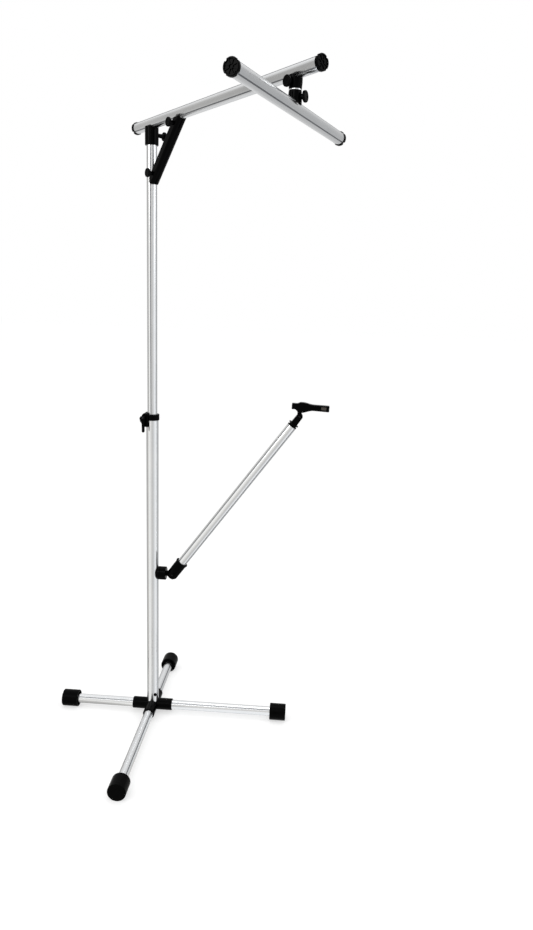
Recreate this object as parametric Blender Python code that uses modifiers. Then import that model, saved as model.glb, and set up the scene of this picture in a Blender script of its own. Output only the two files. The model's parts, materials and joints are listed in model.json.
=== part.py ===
"""Floor stand built from aluminium tube with four grooves along it.

A cross base on rubber feet carries a telescopic column. The column holds a braced boom
with a swivelling cross bar, and a jointed side arm that ends in a small rest bar.
"""

import math

import bmesh
import bpy
from mathutils import Matrix, Vector

MM = 0.001

# Clearances
SEAT_GAP = 0.3 * MM
CUT_OVER = 4.0 * MM

# Grooved tube of the legs, upper column, boom, cross bar and arm
TUBE_RADIUS = 12.5 * MM
TUBE_WALL = 1.5 * MM
GROOVE_WIDTH = 2.4 * MM
GROOVE_DEPTH = 1.5 * MM
LOBE_STEPS = 4

# Lobed outline of the black sleeves that hold the tube
SLEEVE_RADIUS = 15.8 * MM
SLEEVE_GROOVE_WIDTH = 3.0 * MM
SLEEVE_GROOVE_DEPTH = 1.3 * MM
SLEEVE_CHAMFER = 1.0 * MM

# Base
FOOT_RADIUS = 22.5 * MM
FOOT_LENGTH = 44.0 * MM
FOOT_FLAT = 0.4 * MM
FOOT_END = 6.0 * MM
FOOT_CHAMFER = 2.0 * MM
FOOT_MOUTH_RADIUS = 18.0 * MM
FOOT_MOUTH_DEPTH = 10.0 * MM
LONG_REACH = 375.0 * MM
SHORT_REACH = 256.0 * MM
HUB_REACH = 55.0 * MM
LEG_START = 22.0 * MM
SPIGOT_HEIGHT = 53.0 * MM
LEG_HEIGHT = FOOT_RADIUS - FOOT_FLAT

# Lower column
LOWER_RADIUS = 16.0 * MM
LOWER_WALL = 1.5 * MM
LOWER_BOTTOM = 30.0 * MM
LOWER_TOP = 845.0 * MM
SCREW_HEIGHT = 57.0 * MM
SCREW_AZIMUTH = math.radians(-55.0)
SCREW_RADIUS = 2.0 * MM
SCREW_LENGTH = 12.0 * MM
SCREW_HEAD_RADIUS = 4.5 * MM
SCREW_HEAD_HEIGHT = 2.6 * MM

# Height clamp
BUSH_LENGTH = 45.0 * MM
BUSH_FLANGE = 2.2 * MM
COLLAR_BOTTOM = LOWER_TOP - 12.8 * MM
COLLAR_WALL = 1.6 * MM
LUG_BOTTOM = LOWER_TOP - 29.5 * MM
LUG_TOP = LOWER_TOP + 6.4 * MM
LUG_OUTER = 24.4 * MM
LUG_WIDTH = 32.4 * MM
LUG_DOME_RADIUS = 9.6 * MM
CLAMP_HEIGHT = LOWER_TOP - 7.0 * MM
CLAMP_OFFSET = 19.6 * MM
CLAMP_SLIT = 2.4 * MM
CLAMP_BOLT_RADIUS = 2.5 * MM
CLAMP_EYE_RADIUS = 5.0 * MM
CLAMP_EYE_WIDTH = 5.0 * MM
CLAMP_NUT_RADIUS = 5.8 * MM
CLAMP_NUT_HEIGHT = 4.5 * MM
CAM_RADIUS = 6.0 * MM
CAM_WIDTH = 12.0 * MM
LEVER_WIDTH = 7.0 * MM
LEVER_THICKNESS = 4.6 * MM
LEVER_LENGTH = 35.0 * MM
LEVER_SHIFT = 2.0 * MM
LEVER_PIN_RADIUS = 2.0 * MM
LEVER_PIN_HEAD_RADIUS = 3.6 * MM
LEVER_PIN_HEAD = 1.4 * MM

# Boom, set along the head's own X axis
BOOM_AZIMUTH = math.radians(-48.0)
BOOM_HEIGHT = 1534.0 * MM
BOOM_FRONT = 591.0 * MM
BOOM_REAR = -75.0 * MM

# Upper column and the head that seats the boom on it
UPPER_BOTTOM = 620.0 * MM
UPPER_TOP = BOOM_HEIGHT - 18.0 * MM
GLIDE_FOOT = 10.0 * MM
GLIDE_PLUG = 22.0 * MM
HEAD_RADIUS = 16.0 * MM
HEAD_BOTTOM = BOOM_HEIGHT - 48.0 * MM
HEAD_HORN_DROP = 7.4 * MM
HEAD_CHAMFER = 1.5 * MM
HEAD_STUD_HEIGHT = BOOM_HEIGHT - 23.5 * MM

# End caps of the boom and the cross bar
CAP_RADIUS = 14.0 * MM
CAP_THICKNESS = 7.0 * MM
CAP_CHAMFER = 1.0 * MM
CAP_PLUG = 18.0 * MM
CAP_GROOVE_WIDTH = 3.4 * MM
CAP_GROOVE_DEPTH = 1.7 * MM
CAP_RIM = 2.2 * MM
CAP_POCKET = 2.0 * MM

# Brace at 45 degrees between the column and the boom
BRACE_INNER = BOOM_HEIGHT - 124.0 * MM
BRACE_OUTER = BOOM_HEIGHT - 144.7 * MM
BRACE_WIDTH = 22.0 * MM
BRACE_BULGE = 4.0 * MM
BRACE_BOTTOM = BOOM_HEIGHT - 135.0 * MM
BRACE_WRAP = 7.0 * MM
BRACE_HORN = BOOM_HEIGHT - 8.0 * MM
BRACE_UPPER_STUD_RUN = 115.0 * MM
BRACE_UPPER_STUD_HEIGHT = BOOM_HEIGHT - 19.0 * MM
BRACE_LOWER_STUD_RUN = 20.5 * MM
BRACE_LOWER_STUD_HEIGHT = BOOM_HEIGHT - 113.0 * MM
BRACE_SLIT_RUN = 26.0 * MM

# Clamp knobs and their studs
KNOB_RADIUS = 10.0 * MM
KNOB_DISC = 5.0 * MM
POST_KNOB_BOSS = 4.5 * MM
BRACE_KNOB_BOSS = 9.0 * MM
HEAD_KNOB_BOSS = 14.5 * MM
KNOB_BOSS_RADIUS = 4.6 * MM
KNOB_HOLE_DEPTH = 6.0 * MM
KNOB_CHAMFER = 1.4 * MM
STUD_RADIUS = 2.0 * MM

# Post that hangs the cross bar under the boom
POST_ALONG = 520.0 * MM
POST_HALF = 30.2 * MM
POST_RING_RADIUS = 11.7 * MM
POST_TUBE_RADIUS = 12.6 * MM
POST_RING_THICKNESS = 2.0 * MM
POST_FLOOR = 2.2 * MM
POST_HORN_DROP = 6.0 * MM
POST_STUD_HEIGHT = 11.6 * MM
PINCH_SLIT = 1.6 * MM
SWIVEL_RADIUS = 3.0 * MM
SWIVEL_HEAD_RADIUS = 5.0 * MM
SWIVEL_HEAD = 3.0 * MM

# Cross bar
BAR_AZIMUTH = math.radians(-111.75)
BAR_NEAR = 240.0 * MM
BAR_FAR = 240.0 * MM

# Coupler between the lower column and the arm, along +X
ARM_HEIGHT = 415.5 * MM
COUPLER_RADIUS = 17.8 * MM
COUPLER_START = 15.0 * MM
COUPLER_FACE = 20.5 * MM
COUPLER_BOSS_RADIUS = 11.5 * MM
COUPLER_BOSS_END = 31.0 * MM
COUPLER_WELL_RADIUS = 6.0 * MM
COUPLER_WELL_FLOOR = 24.0 * MM
COUPLER_BOLT_RADIUS = 3.0 * MM
COUPLER_BOLT_HEAD_RADIUS = 5.3 * MM
COUPLER_BOLT_HEAD = 4.0 * MM
COUPLER_BOLT_TIP = 7.0 * MM
COUPLER_NUT_RADIUS = 7.0 * MM
COUPLER_NUT_BACK = 8.5 * MM
COLLAR_END = 37.3 * MM
COLLAR_GROOVE_WIDTH = 5.0 * MM
COLLAR_GROOVE_DEPTH = 1.5 * MM

# Elbow of the arm
PIVOT_ALONG = 55.5 * MM
ARM_ELEVATION = math.radians(54.0)
NECK_RADIUS = 6.5 * MM
NECK_END = 40.5 * MM
TONGUE_FLANGE_RADIUS = 10.8 * MM
TONGUE_FLANGE = 2.7 * MM
TONGUE_WIDTH = 8.0 * MM
TONGUE_RADIUS = 9.0 * MM
ELBOW_RADIUS = 15.4 * MM
ELBOW_LIP_RADIUS = 17.2 * MM
ELBOW_FLARE = 7.0 * MM
ELBOW_END_DEPTH = 10.0 * MM
ELBOW_MOUTH = 42.0 * MM
ELBOW_STOP = 17.0 * MM
ELBOW_SLOT = 11.5 * MM
ELBOW_PIN_RADIUS = 3.0 * MM
ELBOW_PIN_LENGTH = 29.0 * MM

# Arm and its end swivel, measured from the elbow's pivot
ARM_END = 515.0 * MM
FERRULE_PLUG = 26.0 * MM
FERRULE_RADIUS = 12.6 * MM
FERRULE_FLANGE = 2.6 * MM
SPINDLE_RADIUS = 5.0 * MM
SPINDLE_TAIL = 6.0 * MM
CLIP_RADIUS = 8.5 * MM
CLIP_THICKNESS = 2.2 * MM
CLIP_BITE = 0.8 * MM
SWIVEL_NECK_RADIUS = 10.0 * MM
SWIVEL_NECK = 3.4 * MM
SWIVEL_FLANGE_RADIUS = 13.6 * MM
SWIVEL_FLANGE = 2.6 * MM
YOKE_ROOT = 17.0 * MM
YOKE_RADIUS = 7.8 * MM
YOKE_WIDTH = 16.0 * MM
REST_PIVOT = 547.0 * MM

# Rest bar, measured from its own pivot
REST_DROOP = math.radians(2.5)
REST_WIDTH = 15.0 * MM
REST_TONGUE_WIDTH = 6.4 * MM
REST_TONGUE_RADIUS = 6.6 * MM
REST_PIN_RADIUS = 2.0 * MM
REST_PIN_LENGTH = 18.0 * MM
REST_EDGE = 3.2 * MM
REST_OUTLINE = (
    (-22.0, 17.8), (-12.0, 17.8), (-7.4, 13.2), (-5.4, 10.0), (4.8, 10.0), (14.0, 12.6),
    (27.5, 17.8), (72.5, 17.4), (72.5, 33.0), (27.5, 32.6), (11.5, 36.6), (-1.5, 36.6),
    (-7.5, 32.8), (-22.0, 32.8),
)

# Facets and shading
COLUMN_STEPS = 24
FOOT_STEPS = 24
KNOB_STEPS = 16
PIN_STEPS = 10
SHARP_ANGLE = math.radians(35.0)

# Turns that send local Z along +X, -Y or +Y
TO_X = Matrix.Rotation(math.pi / 2, 4, "Y")
TO_FRONT = Matrix.Rotation(math.pi / 2, 4, "X")
TO_BACK = Matrix.Rotation(-math.pi / 2, 4, "X")


def at(x=0.0, y=0.0, z=0.0):
    """Shift as a matrix."""
    return Matrix.Translation((x, y, z))


def turn_z(angle):
    """Turn about the upright axis."""
    return Matrix.Rotation(angle, 4, "Z")


def new_finish(name, colour, metallic, roughness):
    """Principled material with plain values."""
    finish = bpy.data.materials.new(name)
    finish.use_nodes = True
    shader = finish.node_tree.nodes["Principled BSDF"]
    shader.inputs["Base Color"].default_value = (*colour, 1.0)
    shader.inputs["Metallic"].default_value = metallic
    shader.inputs["Roughness"].default_value = roughness
    return finish


def lobed_outline(radius, groove_width, groove_depth):
    """Round outline with a square groove on each diagonal, counter-clockwise."""
    half = groove_width / 2
    mouth = math.asin(half / radius)
    sweep = math.pi / 2 - 2 * mouth
    points = []
    for quarter in range(4):
        centre = math.radians(45 + 90 * quarter)
        outward = Vector((math.cos(centre), math.sin(centre)))
        across = Vector((-outward.y, outward.x))
        floor = (radius - groove_depth) * outward
        points.append(floor - half * across)
        points.append(floor + half * across)
        for step in range(LOBE_STEPS + 1):
            angle = centre + mouth + sweep * step / LOBE_STEPS
            points.append(radius * Vector((math.cos(angle), math.sin(angle))))
    return points


def tube_outline(offset=0.0):
    """Outline of the grooved tube, grown or shrunk by an even offset."""
    return lobed_outline(TUBE_RADIUS + offset, GROOVE_WIDTH - 2 * offset, GROOVE_DEPTH)


def sleeve_outline(radius):
    """Lobed outline of a black sleeve, with the same groove at every radius."""
    return lobed_outline(radius, SLEEVE_GROOVE_WIDTH, SLEEVE_GROOVE_DEPTH)


def arc_points(centre, radius, start, end, steps):
    """Points on an arc, its angles in degrees."""
    points = []
    for step in range(steps + 1):
        angle = math.radians(start + (end - start) * step / steps)
        points.append(Vector(centre) + radius * Vector((math.cos(angle), math.sin(angle))))
    return points


def shaded_mesh(name, shape):
    """Turn a bmesh into a mesh that is smooth except at its sharp edges."""
    mesh = bpy.data.meshes.new(name)
    shape.to_mesh(mesh)
    shape.free()
    mesh.shade_smooth()
    mesh.set_sharp_from_angle(angle=SHARP_ANGLE)
    return mesh


def skinned_mesh(name, sections, hollow=False):
    """Skin outlines of equal count stacked along Z; a hollow skin closes on its first ring."""
    shape = bmesh.new()
    rings = []
    for outline, height in sections:
        rings.append([shape.verts.new((point[0], point[1], height)) for point in outline])
    pairs = list(zip(rings, rings[1:]))
    if hollow:
        pairs.append((rings[-1], rings[0]))
    else:
        shape.faces.new(list(reversed(rings[0])))
        shape.faces.new(rings[-1])
    for low, high in pairs:
        for here in range(len(low)):
            after = (here + 1) % len(low)
            shape.faces.new((low[here], low[after], high[after], high[here]))
    bmesh.ops.triangulate(shape, faces=[face for face in shape.faces if len(face.verts) > 4])
    return shaded_mesh(name, shape)


def prism_mesh(name, outline, low, high):
    """One outline drawn out along Z."""
    return skinned_mesh(name, [(outline, low), (outline, high)])


def plate_mesh(name, outline, thickness):
    """One outline drawn out evenly to both sides."""
    return prism_mesh(name, outline, -thickness / 2, thickness / 2)


def tube_mesh(name, low, high):
    """Length of the grooved tube along Z."""
    inner = tube_outline(-TUBE_WALL)
    outer = tube_outline()
    return skinned_mesh(name, [(outer, low), (outer, high), (inner, high), (inner, low)], hollow=True)


def rod_mesh(name, radius, low, high, steps=PIN_STEPS):
    """Plain cylinder along Z."""
    shape = bmesh.new()
    middle = at(z=(low + high) / 2)
    bmesh.ops.create_cone(
        shape, cap_ends=True, segments=steps, radius1=radius, radius2=radius,
        depth=high - low, matrix=middle,
    )
    return shaded_mesh(name, shape)


def block_mesh(name, low, high):
    """Box between two corners."""
    shape = bmesh.new()
    size = Vector(high) - Vector(low)
    middle = (Vector(high) + Vector(low)) / 2
    bmesh.ops.create_cube(shape, size=1.0, matrix=at(*middle) @ Matrix.Diagonal((*size, 1.0)))
    return shaded_mesh(name, shape)


def profile_mesh(name, profile):
    """Half outline of a turned piece as (radius, height), down its outer side."""
    shape = bmesh.new()
    corners = [shape.verts.new((radius, 0.0, height)) for radius, height in profile]
    for here, after in zip(corners, corners[1:]):
        shape.edges.new((here, after))
    if profile[0][0] > 0:
        shape.edges.new((corners[-1], corners[0]))
    mesh = bpy.data.meshes.new(name)
    shape.to_mesh(mesh)
    shape.free()
    return mesh


class Workshop:
    """Holds the collections and finishes, and adds pieces, cutters and pivots."""

    def __init__(self):
        self.parts = self.new_collection("saxophone_stand")
        self.cutters = self.new_collection("cutters")
        self.aluminium = new_finish("satin_aluminium", (0.76, 0.77, 0.78), 1.0, 0.32)
        self.steel = new_finish("zinc_steel", (0.55, 0.56, 0.58), 1.0, 0.3)
        self.black_steel = new_finish("black_steel", (0.04, 0.04, 0.045), 1.0, 0.4)
        self.plastic = new_finish("black_plastic", (0.012, 0.012, 0.013), 0.0, 0.42)
        self.rubber = new_finish("black_rubber", (0.009, 0.009, 0.009), 0.0, 0.75)

    def new_collection(self, name):
        """Collection linked to the scene."""
        collection = bpy.data.collections.new(name)
        bpy.context.scene.collection.children.link(collection)
        return collection

    def pivot(self, name, parent=None, place=Matrix()):
        """Empty that carries a sub-assembly."""
        return self.put(name, None, self.parts, parent, place)

    def put(self, name, mesh, collection, parent, place):
        """Object in a collection, placed against its parent."""
        piece = bpy.data.objects.new(name, mesh)
        collection.objects.link(piece)
        piece.parent = parent
        piece.matrix_local = place
        return piece

    def part(self, name, mesh, finish, parent, place=Matrix()):
        """Piece of the stand."""
        if not mesh.materials:
            mesh.materials.append(finish)
        return self.put(name, mesh, self.parts, parent, place)

    def turned(self, name, profile, finish, parent, place=Matrix(), steps=KNOB_STEPS):
        """Turned piece of the stand."""
        piece = self.part(name, profile_mesh(name, profile), finish, parent, place)
        self.screw(piece, steps)
        return piece

    def cutter(self, name, mesh, parent, place=Matrix()):
        """Hidden shape that is cut from a piece, or joined to it."""
        tool = self.put(name, mesh, self.cutters, parent, place)
        tool.hide_render = True
        tool.display_type = "WIRE"
        return tool

    def screw(self, piece, steps):
        """Turn a half outline about the piece's own Z axis."""
        screw = piece.modifiers.new("turn", "SCREW")
        screw.axis = "Z"
        screw.angle = math.tau
        screw.steps = steps
        screw.render_steps = steps
        screw.use_merge_vertices = True
        screw.merge_threshold = 0.005 * MM
        screw.use_smooth_shade = True

    def combine(self, piece, tool, operation):
        """Exact Boolean of a piece with a hidden shape."""
        boolean = piece.modifiers.new(tool.name, "BOOLEAN")
        boolean.operation = operation
        boolean.solver = "EXACT"
        boolean.object = tool

    def cut(self, piece, *tools):
        """Take hidden shapes out of a piece."""
        for tool in tools:
            self.combine(piece, tool, "DIFFERENCE")

    def join(self, piece, *tools):
        """Make hidden shapes one with a piece."""
        for tool in tools:
            self.combine(piece, tool, "UNION")


def build_base(shop, stand):
    """Cross hub, four legs, four feet."""
    axle = at(z=LEG_HEIGHT)
    sleeve = sleeve_outline(SLEEVE_RADIUS)
    sleeve_end = sleeve_outline(SLEEVE_RADIUS - SLEEVE_CHAMFER)
    shoulder = HUB_REACH - SLEEVE_CHAMFER
    hub_bar = skinned_mesh("hub_bar", [
        (sleeve_end, -HUB_REACH), (sleeve, -shoulder), (sleeve, shoulder), (sleeve_end, HUB_REACH),
    ])
    hub = shop.part("hub", hub_bar, shop.plastic, stand, axle @ TO_X)
    cross = shop.cutter("hub_cross", hub_bar, stand, axle @ turn_z(math.pi / 2) @ TO_X)
    spigot_radius = LOWER_RADIUS - LOWER_WALL - SEAT_GAP
    spigot = rod_mesh("hub_spigot", spigot_radius, 0.0, SPIGOT_HEIGHT, COLUMN_STEPS)
    shop.join(hub, cross, shop.cutter("hub_spigot", spigot, stand, axle))

    bore = prism_mesh("leg_bore", tube_outline(SEAT_GAP), LEG_START, HUB_REACH + CUT_OVER)
    foot = (
        (0.0, FOOT_LENGTH), (FOOT_RADIUS - FOOT_CHAMFER, FOOT_LENGTH),
        (FOOT_RADIUS, FOOT_LENGTH - FOOT_CHAMFER), (FOOT_RADIUS, FOOT_CHAMFER),
        (FOOT_RADIUS - FOOT_CHAMFER, 0.0), (FOOT_MOUTH_RADIUS, 0.0),
        (FOOT_MOUTH_RADIUS, FOOT_MOUTH_DEPTH), (TUBE_RADIUS + SEAT_GAP, FOOT_MOUTH_DEPTH),
        (TUBE_RADIUS + SEAT_GAP, FOOT_LENGTH - FOOT_END), (0.0, FOOT_LENGTH - FOOT_END),
    )
    floor = block_mesh("floor", (-LONG_REACH, -LONG_REACH, -FOOT_LENGTH), (LONG_REACH, LONG_REACH, 0.0))
    floor_cutter = shop.cutter("floor", floor, stand)
    legs = (
        ("right", 0.0, LONG_REACH), ("far", 90.0, SHORT_REACH),
        ("left", 180.0, SHORT_REACH), ("near", -90.0, LONG_REACH),
    )
    for side, azimuth, reach in legs:
        frame = axle @ turn_z(math.radians(azimuth)) @ TO_X
        shop.cut(hub, shop.cutter(side + "_bore", bore, stand, frame))
        leg_end = reach - FOOT_END - SEAT_GAP
        leg = tube_mesh(side + "_leg", LEG_START + SEAT_GAP, leg_end)
        shop.part(side + "_leg", leg, shop.aluminium, stand, frame)
        foot_place = frame @ at(z=reach - FOOT_LENGTH)
        rubber = shop.turned(side + "_foot", foot, shop.rubber, stand, foot_place, FOOT_STEPS)
        shop.cut(rubber, floor_cutter)
    return hub


def build_lower_column(shop, stand, hub):
    """Round outer tube, seated over the hub and held by one screw."""
    inner = LOWER_RADIUS - LOWER_WALL
    profile = (
        (LOWER_RADIUS, LOWER_TOP), (LOWER_RADIUS, LOWER_BOTTOM), (inner, LOWER_BOTTOM), (inner, LOWER_TOP),
    )
    column = shop.turned("lower_column", profile, shop.aluminium, stand, steps=COLUMN_STEPS)
    seat = rod_mesh("hub_seat", SLEEVE_RADIUS + SEAT_GAP, -HUB_REACH, HUB_REACH, COLUMN_STEPS)
    for side, azimuth in (("x", 0.0), ("y", math.pi / 2)):
        place = at(z=LEG_HEIGHT) @ turn_z(azimuth) @ TO_X
        shop.cut(column, shop.cutter("hub_seat_" + side, seat, stand, place))

    frame = at(z=SCREW_HEIGHT) @ turn_z(SCREW_AZIMUTH) @ TO_X
    under_head = LOWER_RADIUS + SEAT_GAP
    tip = under_head - SCREW_LENGTH
    screw = (
        (0.0, under_head + SCREW_HEAD_HEIGHT), (SCREW_HEAD_RADIUS * 0.7, under_head + SCREW_HEAD_HEIGHT),
        (SCREW_HEAD_RADIUS, under_head + SCREW_HEAD_HEIGHT / 3), (SCREW_HEAD_RADIUS, under_head),
        (SCREW_RADIUS, under_head), (SCREW_RADIUS, tip), (0.0, tip),
    )
    shop.turned("column_screw", screw, shop.plastic, stand, frame, PIN_STEPS)
    hole = rod_mesh("column_screw_hole", SCREW_RADIUS + SEAT_GAP, tip - SEAT_GAP, under_head + CUT_OVER)
    screw_hole = shop.cutter("column_screw_hole", hole, stand, frame)
    shop.cut(column, screw_hole)
    shop.cut(hub, screw_hole)
    return column


def build_height_clamp(shop, stand, column):
    """Split collar and bush at the top of the lower column, closed by a cam lever."""
    flange_low = LOWER_TOP + SEAT_GAP
    flange_top = flange_low + BUSH_FLANGE
    bush_radius = LOWER_RADIUS - LOWER_WALL - SEAT_GAP
    bore = TUBE_RADIUS + SEAT_GAP
    bush_profile = (
        (LOWER_RADIUS, flange_top), (LOWER_RADIUS, flange_low), (bush_radius, flange_low),
        (bush_radius, flange_low - BUSH_LENGTH), (bore, flange_low - BUSH_LENGTH), (bore, flange_top),
    )
    bush = shop.turned("guide_bush", bush_profile, shop.plastic, stand, steps=COLUMN_STEPS)

    inner = LOWER_RADIUS + SEAT_GAP
    outer = inner + COLLAR_WALL
    band = ((outer, flange_top), (outer, COLLAR_BOTTOM), (inner, COLLAR_BOTTOM), (inner, flange_top))
    collar = shop.turned("clamp_collar", band, shop.plastic, stand, steps=COLUMN_STEPS)
    dome_middle = LUG_DOME_RADIUS - LUG_OUTER
    dome_height = LUG_TOP - LUG_DOME_RADIUS
    lug_inner = dome_middle + LUG_DOME_RADIUS
    lug = [Vector((-LUG_OUTER, LUG_BOTTOM)), Vector((lug_inner, LUG_BOTTOM))]
    lug += arc_points((dome_middle, dome_height), LUG_DOME_RADIUS, 0.0, 180.0, 12)
    lug_mesh = plate_mesh("clamp_lug", lug, LUG_WIDTH)
    shop.join(collar, shop.cutter("clamp_lug", lug_mesh, stand, TO_FRONT))
    bore_mesh = rod_mesh("collar_bore", inner, LUG_BOTTOM - CUT_OVER, flange_top + LUG_OUTER, COLUMN_STEPS)
    slit_low = (-LUG_OUTER - CUT_OVER, -CLAMP_SLIT / 2, flange_low - BUSH_LENGTH - CUT_OVER)
    slit_high = (lug_inner, CLAMP_SLIT / 2, flange_top + LUG_OUTER)
    slit = shop.cutter("clamp_slit", block_mesh("clamp_slit", slit_low, slit_high), stand)
    bolt_frame = at(-CLAMP_OFFSET, 0.0, CLAMP_HEIGHT) @ TO_FRONT
    half = LUG_WIDTH / 2
    hole = rod_mesh("clamp_bolt_hole", CLAMP_BOLT_RADIUS + SEAT_GAP, -LUG_WIDTH, LUG_WIDTH)
    bolt_hole = shop.cutter("clamp_bolt_hole", hole, stand, bolt_frame)
    shop.cut(collar, shop.cutter("collar_bore", bore_mesh, stand), slit, bolt_hole)
    shop.cut(bush, slit)
    shop.cut(column, slit)

    pin_along = half + SEAT_GAP + CAM_RADIUS
    nut_low = -half - SEAT_GAP - CLAMP_NUT_HEIGHT
    shank = rod_mesh("clamp_bolt", CLAMP_BOLT_RADIUS, nut_low - SEAT_GAP, pin_along)
    bolt = shop.part("clamp_bolt", shank, shop.black_steel, stand, bolt_frame)
    eye = rod_mesh("clamp_eye", CLAMP_EYE_RADIUS, -CLAMP_EYE_WIDTH / 2, CLAMP_EYE_WIDTH / 2, KNOB_STEPS)
    pin_place = at(-CLAMP_OFFSET, -pin_along, CLAMP_HEIGHT)
    shop.join(bolt, shop.cutter("clamp_eye", eye, stand, pin_place @ TO_X))
    nut = skinned_mesh("clamp_nut", [
        (arc_points((0.0, 0.0), CLAMP_NUT_RADIUS, 0.0, 300.0, 5), nut_low),
        (arc_points((0.0, 0.0), CLAMP_NUT_RADIUS, 0.0, 300.0, 5), nut_low + CLAMP_NUT_HEIGHT),
    ])
    nut_piece = shop.part("clamp_nut", nut, shop.black_steel, stand, bolt_frame)
    shop.cut(nut_piece, bolt_hole)

    pivot = shop.pivot("lever_pivot", stand, pin_place)
    cam = rod_mesh("cam_lever", CAM_RADIUS, -CAM_WIDTH / 2, CAM_WIDTH / 2, KNOB_STEPS)
    lever = shop.part("cam_lever", cam, shop.plastic, pivot, TO_X)
    handle = [Vector((CAM_WIDTH / 2, 0.0)), Vector((-CAM_WIDTH / 2, 0.0))]
    left_edge = LEVER_SHIFT - LEVER_WIDTH / 2
    right_edge = LEVER_SHIFT + LEVER_WIDTH / 2
    handle += [Vector((-CAM_WIDTH / 2, -CAM_RADIUS)), Vector((left_edge, -2 * CAM_RADIUS))]
    tip_middle = (LEVER_SHIFT, LEVER_WIDTH / 2 - LEVER_LENGTH)
    handle += arc_points(tip_middle, LEVER_WIDTH / 2, 180.0, 360.0, 8)
    handle += [Vector((right_edge, -2 * CAM_RADIUS)), Vector((CAM_WIDTH / 2, -CAM_RADIUS))]
    handle_mesh = plate_mesh("lever_handle", handle, LEVER_THICKNESS)
    handle_place = at(y=LEVER_THICKNESS / 2 - CAM_RADIUS + SEAT_GAP / 2) @ TO_FRONT
    shop.join(lever, shop.cutter("lever_handle", handle_mesh, pivot, handle_place))
    fork = CLAMP_EYE_WIDTH / 2 + SEAT_GAP
    reach = CAM_RADIUS + CUT_OVER
    well = rod_mesh("lever_well", CLAMP_EYE_RADIUS + 2 * SEAT_GAP, -fork, fork, KNOB_STEPS)
    shop.cut(lever, shop.cutter("lever_well", well, pivot, TO_X))
    swing_low = (-fork, -CLAMP_BOLT_RADIUS, -CLAMP_BOLT_RADIUS - SEAT_GAP)
    swing = block_mesh("lever_swing", swing_low, (fork, reach, reach))
    shop.cut(lever, shop.cutter("lever_swing", swing, pivot))
    sweep = block_mesh("lever_sweep", (-fork, -reach, 0.0), (fork, reach, reach))
    shop.cut(lever, shop.cutter("lever_sweep", sweep, pivot))
    pin_end = CAM_WIDTH / 2 + SEAT_GAP
    pin_profile = (
        (0.0, pin_end), (LEVER_PIN_RADIUS, pin_end), (LEVER_PIN_RADIUS, -pin_end),
        (LEVER_PIN_HEAD_RADIUS, -pin_end), (LEVER_PIN_HEAD_RADIUS, -pin_end - LEVER_PIN_HEAD),
        (0.0, -pin_end - LEVER_PIN_HEAD),
    )
    shop.turned("lever_pin", pin_profile, shop.plastic, stand, pin_place @ TO_X, PIN_STEPS)
    pin_hole = rod_mesh("lever_pin_hole", LEVER_PIN_RADIUS + SEAT_GAP, -CAM_WIDTH, CAM_WIDTH)
    pin_cutter = shop.cutter("lever_pin_hole", pin_hole, stand, pin_place @ TO_X)
    shop.cut(lever, pin_cutter)
    shop.cut(bolt, pin_cutter)


def add_knob(shop, name, parent, place, boss, stud_tip):
    """Round clamp knob with its steel stud; local Z runs outward from the clamped face."""
    top = boss + KNOB_DISC
    hole = STUD_RADIUS + SEAT_GAP
    profile = (
        (0.0, top), (KNOB_RADIUS - KNOB_CHAMFER, top), (KNOB_RADIUS, top - KNOB_CHAMFER),
        (KNOB_RADIUS, boss + KNOB_CHAMFER), (KNOB_RADIUS - KNOB_CHAMFER, boss), (KNOB_BOSS_RADIUS, boss),
        (KNOB_BOSS_RADIUS, 0.0), (hole, 0.0), (hole, KNOB_HOLE_DEPTH), (0.0, KNOB_HOLE_DEPTH),
    )
    shop.turned(name + "_knob", profile, shop.plastic, parent, place)
    stud = rod_mesh(name + "_stud", STUD_RADIUS, stud_tip, KNOB_HOLE_DEPTH - SEAT_GAP)
    shop.part(name + "_stud", stud, shop.steel, parent, place)
    bore = rod_mesh(name + "_stud_hole", hole, stud_tip - SEAT_GAP, CUT_OVER)
    return shop.cutter(name + "_stud_hole", bore, parent, place)


def add_cap(shop, name, parent, place):
    """Lobed end cap with its plug in the tube; local Z runs out of the tube."""
    plug = tube_outline(-TUBE_WALL - SEAT_GAP)
    rim = lobed_outline(CAP_RADIUS, CAP_GROOVE_WIDTH, CAP_GROOVE_DEPTH)
    edge = lobed_outline(CAP_RADIUS - CAP_CHAMFER, CAP_GROOVE_WIDTH, CAP_GROOVE_DEPTH)
    lip = lobed_outline(CAP_RADIUS - CAP_RIM, CAP_GROOVE_WIDTH + CAP_RIM, CAP_GROOVE_DEPTH)
    sections = [
        (plug, -CAP_PLUG), (plug, SEAT_GAP), (rim, SEAT_GAP), (rim, CAP_THICKNESS - CAP_CHAMFER),
        (edge, CAP_THICKNESS), (lip, CAP_THICKNESS), (lip, CAP_THICKNESS - CAP_POCKET),
    ]
    shop.part(name, skinned_mesh(name, sections), shop.plastic, parent, place)


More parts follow.
